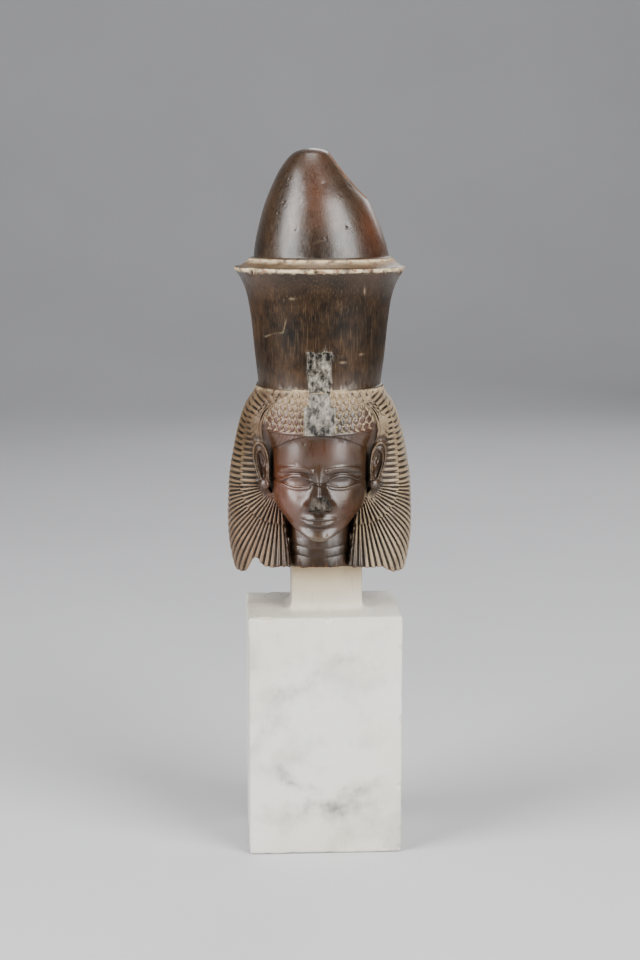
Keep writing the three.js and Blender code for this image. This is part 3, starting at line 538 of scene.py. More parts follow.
print("an ear is", 2 * EAR_HALF_HEIGHT, "mm high")

# %% [markdown]
# ## The crown
#
# The tall crown is turned round, so its shape is a set of radii over the height, leaned back a little.
# The drum flares to a thin rim, chipped all round. A sloping collar leads to the bulb, which has lost its
# top right side.

# %% Drum, rim, collar and bulb
CROWN_LEAN = math.radians(3)
RIM_RADIUS, BULB_BASE = 28.0, CROWN_RIM + 3.6
drum_radius = profile([
    (CROWN_BASE - 3, 19.9), (CROWN_BASE, 20.1), (CROWN_BASE + 10, 21.3), (CROWN_BASE + 20, 22.3),
    (CROWN_BASE + 28, 23.5), (CROWN_BASE + 33, 25), (CROWN_BASE + 36.5, 26.9), (CROWN_RIM, RIM_RADIUS)])
collar_radius = profile([
    (CROWN_RIM + 0.5, 27.6), (CROWN_RIM + 1.2, 26.2), (CROWN_RIM + 2.6, 24.2), (CROWN_RIM + 3.6, 22.9)])


def bulb_at(share):
    return mix(BULB_BASE, CROWN_TOP, share)


bulb_radius = profile([
    (bulb_at(share), radius) for share, radius in (
        (0, 22.3), (0.15, 21.3), (0.345, 19.2), (0.53, 16.6), (0.71, 12.9), (0.845, 9.7), (0.945, 6.6),
        (0.985, 4.4), (1, 2.6))])
bulb_shift = profile([
    (bulb_at(share), aside) for share, aside in (
        (0, 0.6), (0.25, 0), (0.53, -0.9), (0.8, -2.3), (1, -2.6))])


def upright(y, z):
    """Turns a point of the leaning crown back to a crown that stands straight."""
    c, s = math.cos(CROWN_LEAN), math.sin(CROWN_LEAN)
    up = z - CROWN_BASE
    return y * c - up * s, CROWN_BASE + y * s + up * c


def rim_chips(x, y):
    turn = np.arctan2(y, x)
    ring_x, ring_y = np.cos(turn) * RIM_RADIUS, np.sin(turn) * RIM_RADIUS
    level = turn * 0
    fine = grain_at(ring_x, ring_y, level, 1.6, 5) * 0.45 + grain_at(ring_x, ring_y, level, 0.8, 6) * 0.3
    bites = smooth(0.3, 0.8, grain_at(ring_x, ring_y, level, 3.8, 7)) * 1.1
    return np.maximum(0, 0.3 + fine) + bites


def crown(x, y, z):
    y, z = upright(y, z)
    r = np.hypot(x, y)
    chips = rim_chips(x, y)
    drum = np.maximum((r - drum_radius(z)) * 0.97, z - CROWN_RIM - 0.3)
    edge = RIM_RADIUS - chips * 0.9
    drum = np.maximum(drum, r - edge)
    rim = corner_of(r - edge + 0.3, np.abs(z - CROWN_RIM - 0.35) - 0.25, 0.3)
    collar = (np.hypot(x - 0.4, y) - collar_radius(z)) * 0.6
    collar = np.maximum(collar, np.maximum(z - BULB_BASE - 0.2, CROWN_RIM + 0.2 - z))
    bead = np.hypot(np.hypot(x - 0.5, y) - 23.3, z - CROWN_RIM - 3.15) - 0.42
    bulb = (np.hypot(x - bulb_shift(z), y) - bulb_radius(z)) * 0.93
    bulb = cut(bulb, z - CROWN_TOP, 2.6)
    bulb = np.maximum(bulb, CROWN_RIM - z)
    body = join(join(join(drum, rim, 0.3), collar, 0.3), join(bulb, bead, 0.3), 0.35)
    return np.maximum(body, CROWN_BASE - 3 - z)


print("the rim is", 2 * RIM_RADIUS, "mm across")

# %% [markdown]
# ## What has been lost
#
# A cobra stood on the brow and broke off, which left a rough grey strip. The head also broke from its
# figure, and the bulb lost a flake at its top right. Nothing is restored: each break is a rough surface.

# %% Scar and breaks
SCAR_LOW = HAIRLINE + 0.3
SCAR_BLOCK = SCAR_LOW + 9.3
SCAR_HIGH = CROWN_BASE + 13


def scar(x, y, z):
    below = np.maximum(face_reach(z) + 0.9, 20)
    front = np.where(z < CROWN_BASE, below, drum_radius(z) - (z - CROWN_BASE) * math.tan(CROWN_LEAN))
    strip = mix(3.4, 4.0, smooth(CROWN_BASE, SCAR_HIGH, z))
    half = mix(4.9, strip, smooth(SCAR_BLOCK - 0.3, SCAR_BLOCK + 0.3, z))
    side = np.abs(x) - half + 0.45 * rough_at(np.sign(x) * 5.0, x * 0, z, 31)
    proud = 0.6 + 0.95 * rough_at(x, y * 0, z, 33) + 0.4 * np.abs(grain_at(x + z, y * 0, z - x, 1.1, 36))
    d = np.maximum(-y - front - proud, y + front - 3)
    d = cut(d, side, 0.3)
    return np.maximum(d, np.maximum(SCAR_LOW - z, z - SCAR_HIGH - 0.5 * grain_at(x, y * 0, z * 0, 1.5, 34)))


HEAD_ASIDE, STEM_ASIDE = -1.1, 1.0
STEM_HALF = (11.75, 6.8)
SEAT_HALF = tuple(half + 1.0 for half in STEM_HALF)  # the level seat is a little wider than the stem
STEM_MIDDLE = STEM_ASIDE - HEAD_ASIDE


def underside(x, y, z):
    edge = smooth(20, 25.5, np.abs(x))
    notch = 3.6 * bell((x + 21.4) / 2.1) * smooth(6, -4, y)
    uneven = 0.4 + 0.55 * rough_at(x, y, x * 0, 41)
    low = mix(uneven, LOWEST + 0.1 + 0.6 * np.abs(rough_at(x, y, x * 0, 44)), edge) + notch
    clear = np.maximum(np.abs(x - STEM_MIDDLE) - SEAT_HALF[0], np.abs(y) - SEAT_HALF[1])
    return mix(np.maximum(low, 0), low, smooth(0.0, 1.5, clear)) * smooth(0.0, 0.4, clear) - z


FLAKE_TURN = math.radians(127)


def bulb_flake(x, y, z):
    dx, dz = x - 6.2, z - bulb_at(0.83)
    off = dx * math.sin(FLAKE_TURN) - dz * math.cos(FLAKE_TURN)
    along = dx * math.cos(FLAKE_TURN) + dz * math.sin(FLAKE_TURN)
    return off - 0.006 * along**2 + 0.3 * rough_at(x, y, z, 51)


def wear(x, y, z):
    """The slight unevenness of a hand-rubbed surface, and a few knocks."""
    rubbed = 0.05 * grain_at(x, y, z, 7.0, 61) + 0.02 * grain_at(x, y, z, 2.2, 62)
    return rubbed + 0.14 * smooth(0.78, 0.95, grain_at(x, y, z, 1.2, 63))


CRACK = [(-17.6, 77.2), (-14.5, 78.7), (-11.7, 79.2), (-11.2, 81.4), (-10.6, 83.8)]
# Each nick: x, height, half width and half height in millimetres
NICKS = [(-8.8, 90.4, 0.8, 0.35), (14.4, 92.6, 0.3, 1.1), (7.5, 69.8, 0.9, 0.35), (13.5, 72.0, 0.7, 0.3)]


def marks(x, y, z):
    """How deep the crack and the nicks go on the front of the crown."""
    nearest = np.full_like(x, 9.0)
    for (ax, az), (bx, bz) in zip(CRACK, CRACK[1:]):
        share = clamp01(((x - ax) * (bx - ax) + (z - az) * (bz - az)) / ((bx - ax) ** 2 + (bz - az) ** 2))
        nearest = np.minimum(nearest, np.hypot(x - mix(ax, bx, share), z - mix(az, bz, share)))
    depth = 0.16 * bell(nearest / 0.22)
    for nx, nz, wide, high in NICKS:
        depth = depth + 0.25 * bell((x - nx) / wide) * bell((z - nz) / high)
    return depth * (y < 0)


def stone(x, y, z):
    d = join(face_and_cap(x, y, z), wig(x, y, z), 0.25)
    d = join(d, behind_the_temples(x, y, z), 1.2)
    d = join(d, neck(x, y, z), 0.5)
    d = join(d, ear(x, y, z), 0.35)
    d = join(d, crown(x, y, z), 0.2)
    d = d + wear(x, y, z) + marks(x, y, z)
    d = join(d, scar(x, y, z), 0.1)
    d = np.maximum(d, bulb_flake(x, y, z))
    return np.maximum(d, underside(x, y, z))


above_seat = stone(*np.float32([[0], [0], [0.5]]))
print("field half a millimetre above the seat:", round(float(above_seat[0]), 2))

# %% [markdown]
# ## From field to mesh
#
# Blender can mesh a volume with its Volume to Mesh modifier, but a few lines of numpy keep full control.
# Space is cut into small cubes. Every cube that the surface passes through gets one point, and
# neighbouring points are joined by four-sided faces. Far from the surface the field is worked out only
# once per block of cubes, which saves nearly all of the time.

# %% Sample the field near its surface
BLOCK = 4


def in_chunks(field, points, size=150000):
    done = [field(*points[n:n + size].T) for n in range(0, len(points), size)]
    return np.concatenate(done).astype(np.float32)


def sampled(field, low, high, step, reach):
    low, high = np.float32(low), np.float32(high)
    blocks = np.ceil((high - low) / (step * BLOCK)).astype(int)
    shape = blocks * BLOCK
    at = np.stack(np.meshgrid(*(np.arange(n) for n in blocks), indexing="ij"), -1).reshape(-1, 3)
    centres = (low + (at * BLOCK + (BLOCK - 1) / 2) * step).astype(np.float32)
    rough = in_chunks(field, centres)
    values = np.repeat(np.repeat(np.repeat(rough.reshape(blocks), BLOCK, 0), BLOCK, 1), BLOCK, 2)
    near = at[np.abs(rough) < reach]
    inner = np.stack(np.meshgrid(*(np.arange(BLOCK),) * 3, indexing="ij"), -1).reshape(-1, 3)
    cells = (near[:, None, :] * BLOCK + inner[None]).reshape(-1, 3)
    fine = in_chunks(field, (low + cells * step).astype(np.float32))
    values[cells[:, 0], cells[:, 1], cells[:, 2]] = fine
    print("worked out", len(fine), "of", values.size, "grid points")
    return values, low


# %% One point in every cube that the surface crosses
CUBE = np.array([(a, b, c) for a in (0, 1) for b in (0, 1) for c in (0, 1)])
CUBE_EDGES = [(a, b) for a in range(8) for b in range(a + 1, 8) if np.abs(CUBE[a] - CUBE[b]).sum() == 1]


def crossing_points(values, low, step):
    inside = values < 0
    size = np.array(values.shape) - 1
    count = np.zeros(size, dtype=np.uint8)
    for a, b, c in CUBE:
        count += inside[a:a + size[0], b:b + size[1], c:c + size[2]]
    cells = np.argwhere((count > 0) & (count < 8))
    corner = [values[tuple((cells + offset).T)] for offset in CUBE]
    total = np.zeros((len(cells), 3), dtype=np.float32)
    hits = np.zeros(len(cells), dtype=np.float32)
    for a, b in CUBE_EDGES:
        crossed = (corner[a] < 0) != (corner[b] < 0)
        share = np.where(crossed, corner[a] / np.where(crossed, corner[a] - corner[b], 1), 0)
        total += (CUBE[a] + (CUBE[b] - CUBE[a]) * share[:, None]) * crossed[:, None]
        hits += crossed
    number = np.full(size, -1, dtype=np.int32)
    number[tuple(cells.T)] = np.arange(len(cells))
    return low + (cells + total / hits[:, None]) * step, number, inside


def joining_faces(number, inside):
    faces = []
    for axis in range(3):
        u, v = (axis + 1) % 3, (axis + 2) % 3
        near = np.take(inside, np.arange(inside.shape[axis] - 1), axis)
        far = np.take(inside, np.arange(1, inside.shape[axis]), axis)
        edges = np.argwhere(near != far)
        edges = edges[(edges[:, u] > 0) & (edges[:, v] > 0)]
        leaving = near[tuple(edges.T)]
        quad = []
        for du, dv in ((-1, -1), (0, -1), (0, 0), (-1, 0)):
            cell = edges.copy()
            cell[:, u] += du
            cell[:, v] += dv
            quad.append(number[tuple(cell.T)])
        quad = np.stack(quad, 1)
        faces.append(np.where(leaving[:, None], quad, quad[:, ::-1]))
    return np.concatenate(faces)


# %% Keep one body, and draw its points onto the true surface
def largest_body(points, faces):
    label = np.arange(len(points))
    while True:
        lowest = label[faces].min(1)
        new = label.copy()
        np.minimum.at(new, faces.ravel(), np.repeat(lowest, 4))
        new = new[new]
        if np.array_equal(new, label):
            break
        label = new
    body = np.bincount(label).argmax()
    keep = label == body
    renumber = np.cumsum(keep) - 1
    return points[keep], renumber[faces[keep[faces[:, 0]]]]


def slope_of(field, points, h):
    slope = np.empty_like(points)
    for axis in range(3):
        side = np.zeros(3, dtype=np.float32)
        side[axis] = h
        slope[:, axis] = (in_chunks(field, points + side) - in_chunks(field, points - side)) / (2 * h)
    return slope


def onto_surface(field, points, step):
    points = points.astype(np.float32)
    slope = slope_of(field, points, step * 0.4)
    steep = np.maximum((slope**2).sum(1), 0.2)
    move = slope * (in_chunks(field, points) / steep)[:, None]
    return points - np.clip(move, -step * 0.5, step * 0.5)


# %% A mesh with no more faces than it needs
def as_mesh(name, points, faces):
    mesh = bpy.data.meshes.new(name)
    mesh.vertices.add(len(points))
    mesh.vertices.foreach_set("co", points.astype(np.float32).ravel())
    mesh.loops.add(faces.size)
    mesh.loops.foreach_set("vertex_index", faces.astype(np.int32).ravel())
    mesh.polygons.add(len(faces))
    mesh.polygons.foreach_set("loop_start", np.arange(0, faces.size, faces.shape[1], dtype=np.int32))
    mesh.update(calc_edges=True)
    mesh.validate()
    return mesh


def drop_folded_faces(mesh):
    """Thinning can press a thin edge flat: two faces then lie on the same three points, and both go."""
    form = bmesh.new()
    form.from_mesh(mesh)
    on_points = {}
    for face in form.faces:
        on_points.setdefault(frozenset(v.index for v in face.verts), []).append(face)
    folded = [face for faces in on_points.values() if len(faces) > 1 for face in faces]
    bmesh.ops.delete(form, geom=folded, context="FACES")
    form.to_mesh(mesh)
    form.free()
    print(len(folded), "folded faces dropped")


def thinned(mesh, triangles):
    rough = bpy.data.objects.new("rough", mesh)
    bpy.context.scene.collection.objects.link(rough)
    fewer = rough.modifiers.new("fewer", "DECIMATE")
    fewer.ratio = min(1.0, triangles / sum(len(p.vertices) - 2 for p in mesh.polygons))
    ready = rough.evaluated_get(bpy.context.evaluated_depsgraph_get())
    thin = bpy.data.meshes.new_from_object(ready)
    bpy.data.objects.remove(rough)
    bpy.data.meshes.remove(mesh)
    drop_folded_faces(thin)
    return thin


def carved(name, field, low, high, step, triangles, reach):
    values, low = sampled(field, low, high, step, reach)
    points, number, inside = crossing_points(values, low, step)
    faces = joining_faces(number, inside)
    points, faces = largest_body(points, faces)
    points = onto_surface(field, points, step)
    mesh = thinned(as_mesh(name, points, faces), triangles)
    mesh.polygons.foreach_set("use_smooth", np.ones(len(mesh.polygons), dtype=bool))
    print(name, "went from", len(faces), "to", len(mesh.polygons), "faces")
    return mesh


def points_of(mesh):
    flat = np.empty(len(mesh.vertices) * 3, dtype=np.float32)
    mesh.vertices.foreach_get("co", flat)
    return flat.reshape(-1, 3)


def normals_of(mesh):
    flat = np.empty(len(mesh.vertices) * 3, dtype=np.float32)
    mesh.vertices.foreach_get("normal", flat)
    return flat.reshape(-1, 3)


# %% [markdown]
# ## Carve the stone
#
# The head is carved in its own upright frame, where left and right mirror each other. Then it is set on
# the stem as the CAD head is: turned a little to the left, and a little off the middle.

# %% The stone head
HEAD_TURN = math.radians(-3.2)
STONE_BOX = ((-31.6, -27.0, -3.2), (31.6, 31.0, 138.6))
STONE_STEP = 0.3
STONE_TRIANGLES = 196000
head_mesh = carved("queen_head", stone, *STONE_BOX, STONE_STEP, STONE_TRIANGLES, reach=2.3)
carved_points = points_of(head_mesh)
carved_normals = normals_of(head_mesh)

# %% [markdown]
# ## Where dust settles, where hands have rubbed, and where shade is painted
#
# Grooves keep pale dust, crests are rubbed smooth, and in the feathers the grooves get painted shade.
# Blender's Pointiness could tell them apart, but it works in one render engine only, and it changes with
# the size of the faces. The field does it better: a step straight out from a flat surface ends one step
# away from the stone, and a step out of a groove ends closer, because its walls are near.

# %% Grooves and crests as values on the mesh
def closed_in(field, points, normals, far):
    return clamp01(1 - in_chunks(field, points + normals * far) / far)


def standing_out(field, points, normals, far):
    return clamp01(1 + in_chunks(field, points - normals * far) / far)


def put_value(mesh, name, values):
    layer = mesh.attributes.new(name, "FLOAT", "POINT")
    layer.data.foreach_set("value", np.ascontiguousarray(values, dtype=np.float32))


groove = 0.55 * closed_in(stone, carved_points, carved_normals, 0.5)
groove += 0.45 * closed_in(stone, carved_points, carved_normals, 1.4)
crest_wear = standing_out(stone, carved_points, carved_normals, 0.5)
put_value(head_mesh, "groove", groove)
put_value(head_mesh, "crest", crest_wear)
print("average groove", round(float(groove.mean()), 3), "and crest", round(float(crest_wear.mean()), 3))


# %% Breaks, feathers and deposits as values on the mesh
def near_surface(values, within):
    return smooth(within * 2, within, np.abs(values))


head_x, head_y, head_z = carved_points.T
straight_y, straight_z = upright(head_y, head_z)
ring = np.hypot(head_x, straight_y)
on_crown = smooth(CROWN_BASE - 0.45, CROWN_BASE - 0.1, straight_z)
at_nose = smooth(0.35, 0.5, nose_break(head_x, head_z)) * (head_y < -22.4)
at_nose = at_nose * smooth(NOSE - 1.2, NOSE - 0.4, head_z) * (head_z < NOSE + 6)
on_scar = np.maximum(near_surface(scar(head_x, head_y, head_z), 0.08), 0.4 * at_nose)
on_break = near_surface(bulb_flake(head_x, head_y, head_z), 0.06)
on_break = np.maximum(on_break, near_surface(underside(head_x, head_y, head_z), 0.06))
at_rim = smooth(26.5, 27.0, ring) * smooth(0.7, 0.4, np.abs(straight_z - CROWN_RIM - 0.1))
bulb_foot = bell((straight_z - CROWN_RIM - 3.1) / 0.4) * smooth(21, 22.5, ring)
crown_foot = bell((straight_z - CROWN_BASE + 0.8) / 0.4) * (1 - on_crown) * (1 - on_scar)
on_collar = smooth(22.9, 23.4, ring) * smooth(26.9, 26.3, ring)
on_collar = on_collar * smooth(CROWN_RIM, CROWN_RIM + 0.6, straight_z)
in_marks = clamp01(marks(head_x, head_y, head_z) / 0.2)
deposit = np.maximum(np.maximum(at_rim, bulb_foot), np.maximum(crown_foot * 0.5, in_marks * 0.28))
on_ear = near_surface(ear(head_x, head_y, head_z), 0.3) * (head_y < -6)
girth = wig_girth(head_x, head_y, np.minimum(head_z, WIG_TOP))
feather_start = np.where(head_z < FAN_Z, FAN_S + 2.0, leading_edge(head_z))
on_face = smooth(-9.5, -11.5, head_y) * (np.abs(head_x) < 21) * (girth < feather_start + 0.3)
on_feathers = (1 - on_crown) * (1 - on_face) * (girth > FAN_S - 2) * (1 - on_ear)
on_cap = on_face * smooth(HAIRLINE + 0.2, HAIRLINE + 0.5, head_z) * (1 - on_crown) * (1 - on_ear)
pale_cap = 0.6 * on_cap * smooth(HAIRLINE + 5, HAIRLINE + 12, head_z)
# Feathers get paler towards the right, a painted sheen; the top of the cap gets pale dust.
pale_dust_and_sheen = np.maximum(on_feathers * smooth(4, 16, head_x), pale_cap)
on_feathers = np.maximum(on_feathers, 0.7 * on_collar)

# %% [markdown]
# Old polish isn't the same everywhere. The left of the face and of the cap is red-brown, and so is the
# bulb's right edge. The right cheek stays dark, and the drum is painted dark, a painted dark reflection.
# A few soft spots, each with its place and size, say where.

# %% Warm places, and dim places with the drum's painted dark reflection: x, height, half width, half height, strength
WARM_SPOTS = [(-12, 26, 7, 15, 0.9), (-11, 50, 7, 6, 0.9), (3, 41, 7, 4, 0.45), (-22, 12, 8, 12, 0.4),
              (17, 112, 4, 12, 0.6), (-1, 124, 5, 12, 0.45), (9, 20, 4, 5, 0.35), (14, 49, 4, 4, 0.5)]
# The spot over the drum paints a dark reflection into the colour.
DIM_AND_REFLECTION_SPOTS = [(12, 20, 6, 12, 0.5), (0, 79, 40, 18, 0.8), (0, 0, 9, 7, 0.45), (-26, 45, 6, 14, 0.5),
             (22, 50, 7, 12, 0.3)]


def spots_at(spots):
    total = np.zeros_like(head_x)
    for x, z, wide, high, strength in spots:
        total = np.maximum(total, strength * bell((head_x - x) / wide) * bell((head_z - z) / high))
    return total * smooth(8, -4, head_y)


head_values = {
    "scar": on_scar, "broken": on_break, "deposit": deposit, "feathers": on_feathers, "cap": on_cap,
    "crown": on_crown, "pale_dust_and_sheen": pale_dust_and_sheen, "warm": spots_at(WARM_SPOTS),
    "dim_and_dark_reflection": np.maximum(spots_at(DIM_AND_REFLECTION_SPOTS), 0.9 * at_nose)}
for label, values in head_values.items():
    put_value(head_mesh, label, values)
    print(label, "covers a share of", round(float((values > 0.5).mean()), 3))


# %% Set the stone head on the stem
def set_in_place(mesh, turn, aside, up):
    points = points_of(mesh)
    c, s = math.cos(turn), math.sin(turn)
    x = points[:, 0] * c - points[:, 1] * s + aside
    y = points[:, 0] * s + points[:, 1] * c
    placed = np.stack([x, y, points[:, 2] + up], 1) * MM
    mesh.vertices.foreach_set("co", placed.astype(np.float32).ravel())
    mesh.update()


def new_piece(name, mesh, node):
    piece = bpy.data.objects.new(name, mesh)
    bpy.context.scene.collection.objects.link(piece)
    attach(piece, "root")
    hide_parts(node)


set_in_place(head_mesh, HEAD_TURN, HEAD_ASIDE, SEAT)
new_piece("queen_head", head_mesh, "stone_head")
print("the head is", round(max(v.co.z for v in head_mesh.vertices) / MM - SEAT, 1), "mm above its seat")

# %% [markdown]
# ## The marble mount
#
# The plinth is one sawn and polished block with a stem left standing on it. Its edges are worn round and
# chipped here and there. A cube with a Bevel modifier would give the same wear everywhere, so it is
# carved as a field too.

# %% Plinth and stem
PLINTH_HALF = (25.5, 18.0)
PLINTH_HIGH = 82.0


def block(x, y, z, half, low, high, edge):
    middle, tall = (low + high) / 2, (high - low) / 2
    qx, qy, qz = np.abs(x) - half[0] + edge, np.abs(y) - half[1] + edge, np.abs(z - middle) - tall + edge
    outside = np.sqrt(np.maximum(qx, 0) ** 2 + np.maximum(qy, 0) ** 2 + np.maximum(qz, 0) ** 2)
    return outside + np.minimum(np.maximum(qx, np.maximum(qy, qz)), 0) - edge


def edge_wear(x, y, z):
    """How near a point is to the plinth's edges, and how much stone is lost there."""
    to_x, to_y = PLINTH_HALF[0] - np.abs(x), PLINTH_HALF[1] - np.abs(y)
    to_z = np.minimum(PLINTH_HIGH - z, z)
    nearest = np.sort(np.stack([to_x, to_y, to_z]), 0)[1]
    at_edge = smooth(3.0, 0.4, nearest)
    chips = smooth(0.45, 0.8, grain_at(x, y, z, 2.4, 71)) * 0.55
    chips = chips + smooth(0.3, 0.8, grain_at(x, y, z, 1.1, 72)) * 0.2
    return at_edge * (chips + 0.12 * grain_at(x, y, z, 8.0, 73) + 0.1)


def mount_field(x, y, z):
    plinth = block(x, y, z, PLINTH_HALF, 0.0, PLINTH_HIGH, 0.9) + edge_wear(x, y, z)
    stem = block(x - STEM_ASIDE, y, z, STEM_HALF, PLINTH_HIGH - 4, SEAT + 4, 0.7)
    d = join(plinth, stem, 3.2)
    d = d + 0.03 * grain_at(x, y, z, 11.0, 74)
    return np.maximum(np.maximum(d, z - SEAT), -z)


MOUNT_BOX = ((-27, -19.5, -1.4), (27, 19.5, SEAT + 1.4))
MOUNT_STEP, MOUNT_TRIANGLES = 0.5, 60000
mount_mesh = carved("marble_plinth", mount_field, *MOUNT_BOX, MOUNT_STEP, MOUNT_TRIANGLES, reach=2.0)
mount_points, mount_normals = points_of(mount_mesh), normals_of(mount_mesh)
mount_edges = standing_out(mount_field, mount_points, mount_normals, 1.2)
mount_corner = closed_in(mount_field, mount_points, mount_normals, 2.0)
put_value(mount_mesh, "crest", mount_edges)
put_value(mount_mesh, "groove", mount_corner)
set_in_place(mount_mesh, 0.0, 0.0, 0.0)
new_piece("marble_plinth", mount_mesh, "marble_mount")

# %% [markdown]
# ## Materials from small, shared tools
#
# Both stones need the same few effects: fine grain, polishing scratches, pale dust in the hollows and
# worn edges. Each effect is one node group with named inputs, built once and placed in each material with
# its own values. The groups only give colours, masks and heights. The shader itself stays in the
# material.

# %% Helpers that add and join nodes
ORIGIN, GREY = (0.0, 0.0, 0.0), (0.2, 0.2, 0.2, 1.0)


def kind_of(sample):
    if isinstance(sample, float):
        return "NodeSocketFloat"
    return "NodeSocketColor" if len(sample) == 4 else "NodeSocketVector"


def new_group(name, inputs, outputs):
    """A new node group. Each socket gets its kind, and each input its default, from a sample value."""
    group = bpy.data.node_groups.new(name, "ShaderNodeTree")
    for label, sample in inputs.items():
        socket = group.interface.new_socket(name=label, in_out="INPUT", socket_type=kind_of(sample))
        socket.default_value = sample
    for label, sample in outputs.items():
        group.interface.new_socket(name=label, in_out="OUTPUT", socket_type=kind_of(sample))
    return group, group.nodes.new("NodeGroupInput").outputs, group.nodes.new("NodeGroupOutput").inputs


def set_socket(tree, socket, value):
    if isinstance(value, bpy.types.NodeSocket):
        tree.links.new(value, socket)
    else:
        socket.default_value = value


def math_of(tree, operation, *values, clamp=False):
    node = tree.nodes.new("ShaderNodeMath")
    node.operation = operation
    node.use_clamp = clamp
    for socket, value in zip(node.inputs, values):
        set_socket(tree, socket, value)
    return node.outputs[0]


def times(tree, *values, clamp=False):
    """The product of two or more sockets or numbers."""
    result = values[0]
    for value in values[1:]:
        result = math_of(tree, "MULTIPLY", result, value, clamp=clamp)
    return result


def blend_of(tree, share, a, b):
    node = tree.nodes.new("ShaderNodeMix")
    node.data_type = "RGBA"
    for name, kind, value in (("Factor", "VALUE", share), ("A", "RGBA", a), ("B", "RGBA", b)):
        set_socket(tree, next(s for s in node.inputs if s.name == name and s.type == kind), value)
    return next(s for s in node.outputs if s.type == "RGBA")


def range_of(tree, value, low, high, out_low=0.0, out_high=1.0):
    node = tree.nodes.new("ShaderNodeMapRange")
    for name, number in (("From Min", low), ("From Max", high), ("To Min", out_low), ("To Max", out_high)):
        set_socket(tree, node.inputs[name], number)
    set_socket(tree, node.inputs["Value"], value)
    return node.outputs["Result"]


def noise_of(tree, place, scale, detail=4.0, rough=0.55, stretch=None):
    if stretch is not None:
        mapping = tree.nodes.new("ShaderNodeMapping")
        set_socket(tree, mapping.inputs["Vector"], place)
        mapping.inputs["Scale"].default_value = stretch
        place = mapping.outputs["Vector"]
    node = tree.nodes.new("ShaderNodeTexNoise")
    set_socket(tree, node.inputs["Vector"], place)
    set_socket(tree, node.inputs["Scale"], scale)
    node.inputs["Detail"].default_value = detail
    node.inputs["Roughness"].default_value = rough
    return node.outputs["Fac"]


def values_on_mesh(tree, *names):
    nodes = [tree.nodes.new("ShaderNodeAttribute") for _ in names]
    for node, name in zip(nodes, names):
        node.attribute_name = name
    return [node.outputs["Fac"] for node in nodes]


def place_group(tree, group, **values):
    node = tree.nodes.new("ShaderNodeGroup")
    node.node_tree = group
    for name, value in values.items():
        set_socket(tree, node.inputs[name.replace("_", " ")], value)
    return node.outputs


def new_material(name):
    material = bpy.data.materials.new(name)
    material.use_nodes = True
    tree = material.node_tree
    place = tree.nodes.new("ShaderNodeTexCoord").outputs["Object"]
    return material, tree, tree.nodes["Principled BSDF"], place


def bump_of(tree, height, strength, distance):
    node = tree.nodes.new("ShaderNodeBump")
    node.inputs["Strength"].default_value = strength
    node.inputs["Distance"].default_value = distance
    set_socket(tree, node.inputs["Height"], height)
    return node.outputs["Normal"]


# %% Fine grain, for both stones
grain_group, given, out = new_group("fine grain", {"Place": ORIGIN, "Scale": 2000.0}, {"Height": 0.0})
fine = noise_of(grain_group, given["Place"], given["Scale"], 5.0, 0.65)
grain_group.links.new(fine, out["Height"])
print("grain group:", [s.name for s in given if s.name])

# %% [markdown]
# ## Polishing scratches
#
# The crown was rubbed up and down with grit, and the strokes still show. Noise that is stretched about
# thirty times in one direction gives such strokes. Here that direction is the height, so they stand
# upright.

# %% Scratches, for both stones
scratch_group, given, out = new_group(
    "polishing scratches", {"Place": ORIGIN, "Scale": 900.0}, {"Height": 0.0, "Strokes": 0.0})
long_strokes = noise_of(scratch_group, given["Place"], given["Scale"], 3.0, 0.6, (1.0, 1.0, 0.03))
cross_strokes = noise_of(scratch_group, given["Place"], given["Scale"], 2.0, 0.5, (0.3, 0.3, 0.06))
scratch_group.links.new(math_of(scratch_group, "ADD", long_strokes, cross_strokes), out["Height"])
scratch_group.links.new(range_of(scratch_group, long_strokes, 0.52, 0.7), out["Strokes"])
print("scratch group:", [s.name for s in given if s.name])

# %% Dust in hollows and wear on edges, for both stones
age_group, given, out = new_group(
    "dust and wear",
    {"Place": ORIGIN, "Colour": GREY, "Dust Colour": GREY, "Wear Colour": GREY,
     "Groove": 0.0, "Crest": 0.0, "Dust": 0.5, "Wear": 0.5},
    {"Colour": GREY})
patches = noise_of(age_group, given["Place"], 260.0, 4.0, 0.6)
in_hollows = range_of(age_group, given["Groove"], 0.25, 0.75)
on_edges = range_of(age_group, given["Crest"], 0.3, 0.85)
dusty = times(age_group, in_hollows, range_of(age_group, patches, 0.35, 0.6), given["Dust"], clamp=True)
worn = times(age_group, on_edges, range_of(age_group, patches, 0.3, 0.7), given["Wear"], clamp=True)
aged = blend_of(age_group, worn, given["Colour"], given["Wear Colour"])
age_group.links.new(blend_of(age_group, dusty, aged, given["Dust Colour"]), out["Colour"])
print("age group:", [s.name for s in given if s.name])

# %% [markdown]
# ## The dark stone
#
# The stone is almost black where it is thick with old polish, red-brown where it is rubbed, and tan on
# the high lines of the feathers. The near black in the feather grooves is painted shade, the near black
# on the drum is a painted dark reflection, and the paler feathers on the right carry a painted sheen.
# Noises of several sizes move between these colours. The broken places get their own grey and
# orange-brown, and lose the polish.

# %% Colours of the dark stone
def colour(*screen):
    """A colour as a screen shows it (0 to 255), turned into the linear light that Blender counts in."""
    linear = [((c / 255 + 0.055) / 1.055) ** 2.4 if c > 10 else c / 255 / 12.92 for c in screen]
    return (*linear, 1.0)


DARK_BROWN = colour(46, 36, 27)
UMBER = colour(72, 53, 37)
NEAR_BLACK = colour(20, 17, 15)
RED_BROWN = colour(98, 56, 36)
TAN = colour(150, 127, 98)
ROSE_TAN = colour(142, 104, 78)
CREAM = colour(205, 188, 158)
GREY_BREAK = colour(152, 146, 135)
DARK_BREAK = colour(30, 28, 25)
ORANGE_BREAK = colour(132, 88, 58)
print("dark brown in linear light:", [round(c, 3) for c in DARK_BROWN[:3]])

